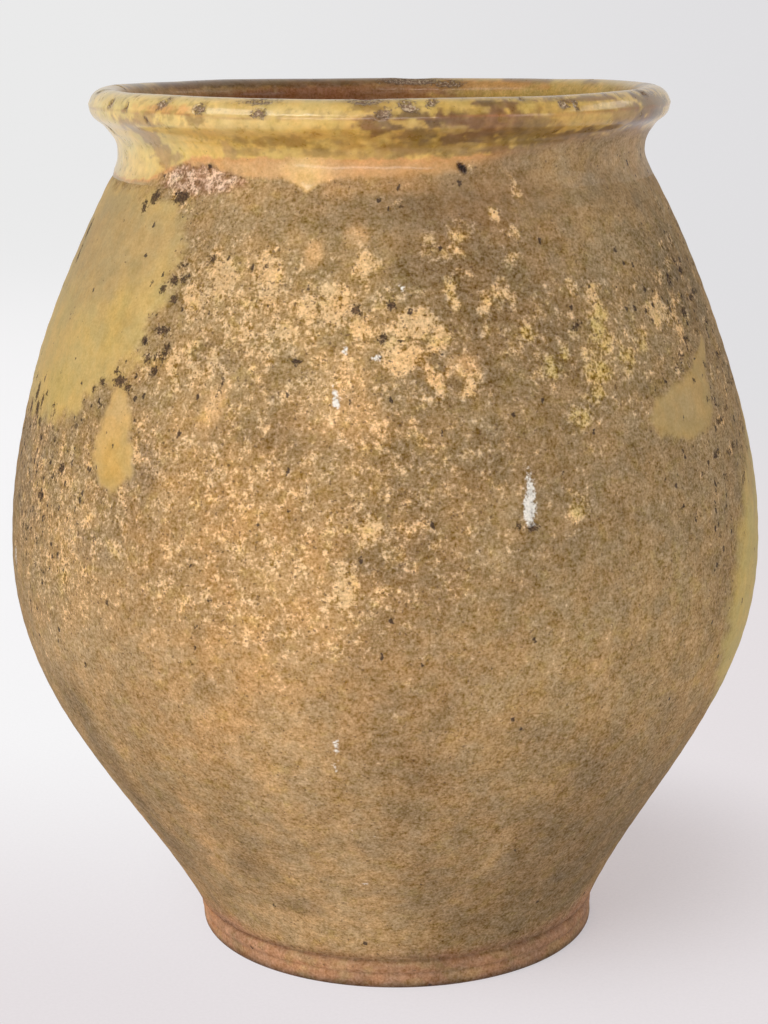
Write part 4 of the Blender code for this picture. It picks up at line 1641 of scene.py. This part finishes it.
    @staticmethod
    def _slip(skin: Skin, glaze_mm: np.ndarray, thin: np.ndarray) -> np.ndarray:
        """Mix the colour of the slip between the glaze line and the fringe line.

        Args:
            skin: The points.
            glaze_mm: How far each lies over the glaze line.
            thin: How far the slip has run out, 0 to 1.

        Returns:
            Linear colours: peach on the left, amber along the glaze, pale at the drip.
        """
        slip = Tone.SLIP.flooded(skin.azimuth.shape)
        slip = toward(slip, 0.4 - 0.4 * smoothstep(-24.0, 2.0, skin.azimuth), Tone.PEACH)
        slip = toward(slip, 0.45 * bell(glaze_mm + 0.4, 0.9), Tone.AMBER)
        slip = toward(slip, 0.6 * bell(skin.azimuth + 15.0, 4.0), Tone.HONEY_PALE)
        return toward(slip, thin, Tone.RUSSET)

    def _thicken(
        self, skin: Skin, face: np.ndarray, cover: np.ndarray, crater: np.ndarray, chip: np.ndarray
    ) -> None:
        """Move the outer face by its glaze, its crust and its chips.

        Chips sink towards the middle of the bead: inward outside, downward at the crest and outward
        in the mouth.

        Args:
            skin: The points, which are moved.
            face: Which of them lie on the outer face.
            cover: Share of the full film at each point.
            crater: How far each point belongs to the crusted patch, 0 to 1.
            chip: Level of the chips in millimetres.
        """
        ending = self.SINK * np.exp(-(skin.height - self.lower_end / MM) / self.SINK_REACH)
        low = 1.0 - smoothstep(*self.NECK_BAND, skin.height)
        rough = self.crust * crater * (0.6 + EDGES.at(skin.points, 2.2, 2))
        sunk = self.chip_depth * smoothstep(-0.2, 0.7, chip)
        past = skin.height - self.CREST
        inward = np.where(past > 0.0, -1.0, 1.0) * smoothstep(0.0, self.CREST_REACH, np.abs(past))
        moved = low * (self.film * cover - ending) - rough - sunk * inward
        skin.radius = skin.radius + np.where(face, moved, 0.0)
        skin.z = skin.z - np.where(face, sunk * bell(past, self.CREST_REACH), 0.0)

    def build(self) -> None:
        """Make the collar and dress it.

        Above the glaze line the coat is honey glaze. Between that and the fringe line it is a thin
        peach slip, and below the fringe line it is the clay itself.
        """
        skin, face = self._skin()
        ragged = EDGES.at(skin.points, 4.0, 4)
        fringe_mm = skin.height - along(FRINGE_LINE, skin.azimuth) + 0.8 * ragged
        glaze_mm = skin.height - along(GLAZE_LINE, skin.azimuth) + 0.9 * ragged
        crater = smoothstep(-1.5, 0.5, CRATER.level(skin) + 1.5 * ragged)
        front = skin.azimuth < self.FRONT_END
        blurred = smoothstep(-8.0, 6.0, skin.azimuth) * front
        fringe = smoothstep(-1.0, 1.0, (fringe_mm + 0.15) / (1.0 + 1.6 * blurred)) * (1.0 - crater)
        thin = smoothstep(14.0, 30.0, skin.azimuth) * front
        glaze = smoothstep(-0.4, 0.5, glaze_mm / (1.0 + 2.5 * thin)) * (1.0 - crater)
        chip = highest(COLLAR_CHIPS + scatter(12, 7, (322.0, 331.0), (0.5, 1.6)), skin)
        honey = toward(self._honey(skin), 0.35 * smoothstep(-1.2, 0.2, chip), Tone.BROWN_FILM)
        slip = self._slip(skin, glaze_mm, thin)
        grainy = SEALED + 3.4 * (1.0 - smoothstep(0.0, 1.8, fringe_mm))
        layers = self.vessel.layers(skin)
        shoulder = bell(skin.azimuth + 80.0 + 2.0 * ragged, 27.0) ** 0.5
        olive = {"ground": Tone.OLIVE_GREY, "bare": FILMED, "specks": 0.1, "gloss": 0.8}
        layers = overlaid(layers, smoothstep(0.55, 0.75, shoulder), olive)
        layers = overlaid(layers, fringe, {"ground": slip, "bare": grainy, "specks": 0.0, "gloss": 0.75})
        layers = overlaid(layers, glaze, {"ground": honey, "bare": SEALED, "specks": 0.0, "gloss": 1.0})
        burnt = smoothstep(-0.3, 0.5, layers["pit"] + 0.6 * ragged) * (skin.height < self.NECK_BAND[1])
        layers = overlaid(layers, burnt, {"ground": Tone.SOOT, "bare": SEALED, "gloss": 0.0})
        layers["pit"] = chip
        layers["gloss"] = layers["gloss"] * (1.0 - 0.45 * smoothstep(330.5, 333.0, skin.height))
        self._thicken(skin, face, 0.12 + 0.45 * fringe + 0.43 * glaze, crater, chip)
        mesh = surface_mesh("lip_collar", skin.points, layers, ring=True)
        add_piece("lip_collar", mesh, Finish.HONEY, "rim_glaze")


@dataclass
class Lining:
    """The glaze over the whole inside, from the throat to the middle of the floor.

    Attributes:
        shape: The turned outline.
        columns: Points round the jar.
        wall_rows: Rows down the wall.
        film: Its thickness.
        worn_radius: Where the floor is worn most.
    """

    shape: JarShape
    columns: int = 300
    wall_rows: int = 90
    film: float = 0.0008
    worn_radius: float = 0.030

    RING_RELIEF = 0.00012
    RING_PITCH = 9.0
    RING_FLOOR = 40.0
    WORN_TOP = 22.0
    WORN_WIDTH = 0.030
    # Rows of the hidden face, as in ClayVessel, and of the face that shows: round the bend and across.
    BACK_ROWS = (24, 8, 1)
    FLOOR_ROWS = (16, 18)

    def build(self) -> None:
        """Make the lining and dress it: caramel, darker in slow runs, worn pale on the floor."""
        back = self.shape.inside(-self.film, *self.BACK_ROWS)[::-1]
        path = np.vstack([back, self.shape.inside(0.0, self.wall_rows, *self.FLOOR_ROWS)])
        azimuth, radius = np.meshgrid(azimuths(self.columns, 0.0), path[:, 0])
        z = np.repeat(path[:, 1:], self.columns, axis=1)
        skin = Skin(azimuth, z / MM, radius, z, self.shape.lean(z))
        points = skin.points
        face = (np.arange(len(path)) >= len(back))[:, None]
        phase = skin.height * FULL_TURN / self.RING_PITCH + 2.0 * RELIEF.at(points, 70.0, 1)
        rings = self.RING_RELIEF * np.sin(phase)
        skin.radius = radius + np.where(face & (skin.height > self.RING_FLOOR), rings, 0.0)
        runs = CLOUDS.at(points, 26.0, 3, 0.3)
        slow = CLOUDS.at(points, 60.0, 3)
        colour = Tone.CARAMEL.flooded(z.shape)
        colour = toward(colour, 0.7 * smoothstep(-0.1, 0.5, runs), Tone.OXBLOOD)
        colour = toward(colour, 0.5 * smoothstep(0.1, 0.6, slow), Tone.HONEY_DEEP)
        worn = bell(radius - self.worn_radius, self.WORN_WIDTH) * (skin.height < self.WORN_TOP)
        worn = worn * smoothstep(-0.2, 0.4, slow + 0.2)
        layers = {
            "ground": toward(colour, 0.4 * worn, Tone.HONEY),
            "bare": np.full(z.shape, -4.0) + 1.6 * worn,
            "bare_tone": Tone.CREAM.flooded(z.shape),
            "pit": highest(scatter(14, 40, (40.0, 280.0), (0.6, 1.6)), skin),
            "chalk": np.full(z.shape, NO_MARK),
            "specks": np.full(z.shape, 0.08),
            "gloss": 1.0 - 0.4 * worn,
        }
        mesh = surface_mesh("lining_coat", skin.points, layers)
        add_piece("lining_coat", mesh, Finish.LINING, "inner_glaze")


@dataclass
class GlazeRun:
    """A run of glaze on the wall, inside an outline of azimuths and heights in millimetres.

    Attributes:
        vessel: The clay under it.
        name: The piece's name.
        node: The CAD node that it stands for.
        finish: Which glaze it is.
        tone: Its main colour.
        rim_tone: Its colour where it thins out.
        outline: The knots of its edge.
        washes: Stains on it.
        film: Its thickness.
        fade: How far inside the outline it is full, in millimetres.
        raggedness: How far the edge wanders, in millimetres.
        rings: Rings of points from the edge to the middle.
        columns: Points round the edge.
        back_rings: Rings of the hidden face.
    """

    vessel: ClayVessel
    name: str
    node: str
    finish: Finish
    tone: Tone
    rim_tone: Tone
    outline: Sequence[Sequence[float]]
    washes: Sequence[Wash]
    film: float = 0.00035
    fade: float = 5.0
    raggedness: float = 2.0
    rings: int = 44
    columns: int = 420
    back_rings: int = 5

    CROWDING = 1.8
    WAVE_RELIEF = 0.00005
    LIFT = 0.00004
    TUCK_BAND = (297.0, 299.0)
    TUCK = 0.0004
    EDGE_SINK = 0.0003
    EDGE_REACH = 0.25
    RIM_STRENGTH = 0.8
    RIM_REACH = 2.0
    BACK_DEPTH = 0.0012

    def build(self) -> None:
        """Make the run and dress it.

        Rings grow from the middle to the outline, closer together near the edge, and shrink again
        behind. The film rises from under the clay's skin at the edge to its full thickness, and its
        colour starts from the clay's own, so that it thins out without a line.
        """
        edge = closed_spline(self.outline, self.columns)
        middle = edge.mean(axis=0)
        front = 1.0 - np.linspace(1.0, 0.0, self.rings) ** self.CROWDING
        reach = np.concatenate([front, np.linspace(1.0, 0.0, self.back_rings + 1)[1:]])[:, None, None]
        place = middle + reach * (edge - middle)
        azimuth, z = place[..., 0], place[..., 1] * MM
        skin = self.vessel.wall_skin(azimuth, z)
        points = skin.points
        span = np.linalg.norm(points[self.rings - 1] - points[0], axis=-1) / MM
        inside = (1.0 - reach[..., 0]) * span
        ragged = EDGES.at(points, 7.0, 4)
        depth = inside + self.raggedness * (ragged - 0.6)
        face = (np.arange(len(reach)) < self.rings)[:, None]
        full = smoothstep(0.0, self.fade, depth)
        waves = self.WAVE_RELIEF * RELIEF.at(points, 12.0, 2)
        rise = self.film * full + waves * full + self.LIFT
        tucked = smoothstep(*self.TUCK_BAND, skin.height)
        sink = self.EDGE_SINK * np.exp(-inside / self.EDGE_REACH)
        rise = rise * (1.0 - tucked) - self.TUCK * tucked - sink
        skin.radius = skin.radius + np.where(face, rise, -self.BACK_DEPTH)
        colour = self.tone.flooded(z.shape)
        stains = EDGES.at(points, 16.0, 4)
        for stain in self.washes:
            colour = stain.over(colour, skin, stains)
        thinning = self.RIM_STRENGTH * np.exp(-np.maximum(depth, 0.0) / self.RIM_REACH)
        colour = toward(colour, thinning, self.rim_tone)
        colour = colour * (1.0 + 0.05 * CLOUDS.at(points, 30.0, 3, 0.6))[..., None]
        glaze = {"ground": colour, "bare": FILMED, "specks": 0.04, "gloss": 0.8}
        layers = overlaid(self.vessel.layers(skin), full, glaze)
        add_piece(self.name, surface_mesh(self.name, skin.points, layers), self.finish, self.node)


def glaze_runs(vessel: ClayVessel) -> list[GlazeRun]:
    """List the runs of glaze on the outer wall.

    Args:
        vessel: The clay under them.

    Returns:
        The four runs, from left to right.
    """
    return [
        GlazeRun(
            vessel, "left_shoulder_run", "left_shoulder_glaze", Finish.OLIVE,
            Tone.OLIVE, Tone.OLIVE_GREY,
            [(-113, 296), (-80, 303.5), (-62, 303.5), (-49, 300), (-37, 292), (-35, 270), (-37, 252),
             (-40, 238), (-46.5, 224.5), (-55, 211), (-66, 206.5), (-80, 209), (-86, 226), (-93, 222),
             (-97, 244), (-106, 250), (-108, 274)],
            washes(
                (Tone.OLIVE_BRIGHT, -49, 258, 5.5, 13, 0.8, 1.4),
                (Tone.OLIVE_BRIGHT, -63, 225, 14, 8, 0.6, 1.4),
                (Tone.OLIVE_GREY, -60, 278, 44, 22, 0.8, 1.4),
            ),
            fade=9.0, raggedness=5.0,
        ),
        GlazeRun(
            vessel, "left_tongue_run", "left_glaze_tongue", Finish.OCHRE,
            Tone.OCHRE, Tone.OLIVE_GREY,
            [(-40.4, 226), (-37.4, 211), (-37.8, 199), (-43, 194), (-48, 203), (-48, 220), (-44.5, 235)],
            washes(
                (Tone.OCHRE_DEEP, -42.5, 205, 6, 8, 0.8, 1.4),
                (Tone.PEACH, -43, 224, 6, 6, 0.25, 1.4),
            ),
            fade=4.0, raggedness=2.0, rings=28, columns=220,
        ),
        GlazeRun(
            vessel, "right_shoulder_run", "right_shoulder_glaze", Finish.OLIVE,
            Tone.OLIVE_DULL, Tone.OLIVE_DARK,
            [(65.5, 243), (63, 228), (61, 214), (54, 206.5), (46.5, 209), (42, 220), (47, 230),
             (57, 236)],
            washes((Tone.OLIVE_GREY, 50, 222, 16, 6, 0.6, 1.3, 0.35, 10)),
            fade=5.0, raggedness=2.6, rings=30, columns=260,
        ),
        GlazeRun(
            vessel, "right_side_run", "right_side_glaze", Finish.OLIVE,
            Tone.OLIVE_LIME, Tone.LICHEN,
            [(92, 216), (100, 198), (97, 172), (108, 150), (103, 128), (107, 112), (98, 99), (92, 110),
             (86, 92), (78, 78), (70, 92), (62, 102), (57, 122), (57, 146), (60, 170), (66, 198),
             (75, 206), (82, 224), (87, 228)],
            washes(
                (Tone.OLIVE_DARK, 72, 200, 40, 18, 0.9, 1.4),
                (Tone.OLIVE_DULL, 92, 150, 26, 50, 0.6, 1.4, 0.7),
            ),
            fade=16.0, raggedness=5.0,
        ),
    ]


@dataclass(frozen=True)
class Lamp:
    """A soft box that looks at the jar's middle.

    Attributes:
        name: Its name.
        place: Where it hangs.
        size: Its width and height.
        power: Its power in watts.
        mirrored: Whether glossy glaze reflects it.
    """

    name: str
    place: tuple[float, float, float]
    size: tuple[float, float]
    power: float
    mirrored: bool = True

    AIM = (0.0, 0.0, 0.2)

    def hang(self) -> None:
        """Put the lamp into the scene."""
        data = bpy.data.lights.new(self.name, "AREA")
        data.shape = "RECTANGLE"
        data.size, data.size_y = self.size
        data.energy = self.power
        lamp = bpy.data.objects.new(self.name, data)
        lamp.location = self.place
        lamp.visible_glossy = self.mirrored
        across, along_y, up = np.array(self.AIM) - np.asarray(self.place)
        tilt = math.atan2(math.hypot(across, along_y), -up)
        lamp.rotation_euler = (tilt, 0.0, math.atan2(-across, along_y))
        bpy.context.scene.collection.objects.link(lamp)


LAMPS = (
    Lamp("key", (-1.3, -0.65, 1.4), (0.9, 0.42), 6.0),
    Lamp("key_strip", (-0.5, -1.1, 1.215), (1.0, 0.12), 4.8),
    Lamp("front_fill", (-0.5, -1.9, 0.5), (1.6, 0.9), 6.2),
    Lamp("low_fill", (-0.2, -1.5, 0.12), (1.6, 0.2), 7.2),
    Lamp("right_fill", (1.5, -0.9, 0.45), (0.6, 0.8), 3.8),
    Lamp("right_strip", (1.22, 0.26, 0.96), (0.9, 0.25), 1.7),
    Lamp("left_back_fill", (-1.7, 1.2, 0.35), (1.2, 0.5), 3.2, mirrored=False),
    Lamp("right_back_fill", (1.7, 1.2, 0.35), (1.2, 0.5), 4.0, mirrored=False),
    Lamp("back_fill", (0.2, 2.0, 0.5), (1.6, 0.8), 10.0, mirrored=False),
)


@dataclass
class Studio:
    """A pale sweep, soft lamps and the camera.

    Attributes:
        floor_end: Where the sweep leaves the floor, behind where a camera may stand at the back.
        sweep_radius: Radius of its bend.
        sweep_height: Height of its top edge.
        half_width: Half the width of the sweep, and how far it comes forward.
        gap: How far the floor lies under the foot, so that the two never share a plane.
        camera_place: Where the camera stands.
        pitch: How far down it looks, in degrees.
        roll: How far it is turned about its own axis, in degrees.
        lens: Focal length in millimetres.
        sensor: Width of the sensor in millimetres.
        world_light: Strength of the even light from all sides.
    """

    floor_end: float = 2.2
    sweep_radius: float = 1.2
    sweep_height: float = 9.0
    half_width: float = 16.0
    gap: float = 0.0002
    camera_place: tuple[float, float, float] = (0.0, -0.8578, 0.3618)
    pitch: float = 12.88
    roll: float = -0.34
    lens: float = 78.86
    sensor: float = 36.0
    world_light: float = 0.34

    BEND_STEPS = 24
    ACROSS_STEPS = 9
    # Where the floor takes shadows: round a middle, out to these distances, and how much it glows there.
    SHADOW_MIDDLE = (0.06, 0.05, 0.0)
    SHADOW_REACH = (0.05, 0.17)
    SHADOW_GLOW = 0.45
    # The backdrop fans out from the camera: from left to right, and no narrower than at the jar.
    FAN_DISTANCE = 0.86
    FAN_LEAST = 0.8
    FAN = (-0.165, 0.194)

    def _sweep(self) -> None:
        """Make the floor and the backdrop as one sheet: flat, a quarter bend, then upright."""
        bend = np.linspace(0.0, math.pi / 2, self.BEND_STEPS)
        curve = np.stack([
            self.floor_end + self.sweep_radius * np.sin(bend), self.sweep_radius * (1 - np.cos(bend))
        ], axis=1)
        top = (self.floor_end + self.sweep_radius, self.sweep_height)
        profile = np.vstack([[(-self.half_width, 0.0)], curve, [top]]) - (0.0, self.gap)
        across = np.linspace(-self.half_width, self.half_width, self.ACROSS_STEPS)
        x, y = np.meshgrid(across, profile[:, 0])
        z = np.repeat(profile[:, 1:], len(across), axis=1)
        index = np.arange(x.size).reshape(x.shape)
        faces = np.stack([index[:-1, :-1], index[:-1, 1:], index[1:, 1:], index[1:, :-1]], axis=-1)
        mesh = bpy.data.meshes.new("sweep")
        points = np.stack([x, y, z], axis=-1).reshape(-1, 3)
        mesh.from_pydata(points.tolist(), [], faces.reshape(-1, 4).tolist())
        mesh.shade_smooth()
        mesh.materials.append(self._cloth())
        sweep = bpy.data.objects.new("sweep", mesh)
        bpy.context.scene.collection.objects.link(sweep)

    def _cloth(self) -> bpy.types.Material:
        """Build the pale cloth.

        Returns:
            A material that takes part of the shadow near the foot and glows farther out, with painted
            light: brighter on the left than on the right.
        """
        paint = Paint("pale_cloth")
        x = paint.node("ShaderNodeSeparateXYZ", {0: paint.place}, output="X")
        y = paint.node("ShaderNodeSeparateXYZ", {0: paint.place}, output="Y")
        weave = paint.grain(1.2, 2.0, 0.5)
        threads = paint.scaled(Tone.FLOOR.rgba, 1.0 + weave * 0.12)
        cloth = paint.node("ShaderNodeBsdfDiffuse", {"Color": threads})
        # Painted light: the backdrop glows brightest on the left and dimmer to the right, at the front
        # and far back.
        left = paint.blend(paint.step(y, -0.1, 0.25), Tone.BACKDROP_FRONT.rgba, Tone.BACKDROP_LEFT.rgba)
        left = paint.blend(paint.step(y, 0.95, 2.75), left, Tone.BACKDROP_TOP.rgba)
        right = paint.blend(paint.step(y, 0.3, 1.33), Tone.BACKDROP_FRONT.rgba, Tone.BACKDROP_RIGHT.rgba)
        fan = x / (y + self.FAN_DISTANCE).at_least(self.FAN_LEAST)
        glow = paint.blend(paint.step(fan, *self.FAN), left, right)
        backdrop = paint.node("ShaderNodeEmission", {"Color": paint.scaled(glow, 1.0 + weave * 0.07)})
        seen = [paint.node("ShaderNodeLightPath", output=ray) for ray in
                ("Is Camera Ray", "Is Glossy Ray", "Is Transmission Ray")]
        middle = {0: paint.place, 1: self.SHADOW_MIDDLE}
        distance = paint.node("ShaderNodeVectorMath", middle, {"operation": "DISTANCE"}, output="Value")
        outside = paint.step(distance, *self.SHADOW_REACH)
        share = (seen[0] + seen[1] + seen[2]) * (self.SHADOW_GLOW + (1.0 - self.SHADOW_GLOW) * outside)
        return paint.surface(paint.node("ShaderNodeMixShader", {0: share, 1: cloth, 2: backdrop}))

    def _camera(self) -> None:
        """Stand the camera where the picture was taken from."""
        data = bpy.data.cameras.new("camera")
        data.sensor_width = self.sensor
        data.lens = self.lens
        camera = bpy.data.objects.new("camera", data)
        tilt = Matrix.Rotation(math.radians(90.0 - self.pitch), 4, "X")
        roll = Matrix.Rotation(math.radians(self.roll), 4, "Z")
        camera.matrix_world = Matrix.Translation(self.camera_place) @ tilt @ roll
        bpy.context.scene.collection.objects.link(camera)
        bpy.context.scene.camera = camera

    def build(self) -> None:
        """Set up the sweep, the lamps, the world and the camera."""
        self._sweep()
        self._camera()
        for lamp in LAMPS:
            lamp.hang()
        world = bpy.data.worlds.new("studio")
        world.use_nodes = True
        light = world.node_tree.nodes["Background"].inputs
        light["Color"].default_value = (1.0, 1.0, 1.0, 1.0)
        light["Strength"].default_value = self.world_light
        bpy.context.scene.world = world
        bpy.context.scene.view_settings.view_transform = "Standard"


def main() -> None:
    """Dress the jar piece by piece, then set up the studio."""
    logging.basicConfig(level=logging.INFO, format="%(name)s: %(message)s")
    shape = JarShape()
    vessel = ClayVessel(shape)
    vessel.build()
    Lining(shape).build()
    LipCollar(vessel).build()
    for run in glaze_runs(vessel):
        run.build()
    Studio().build()


if __name__ == "__main__":
    main()
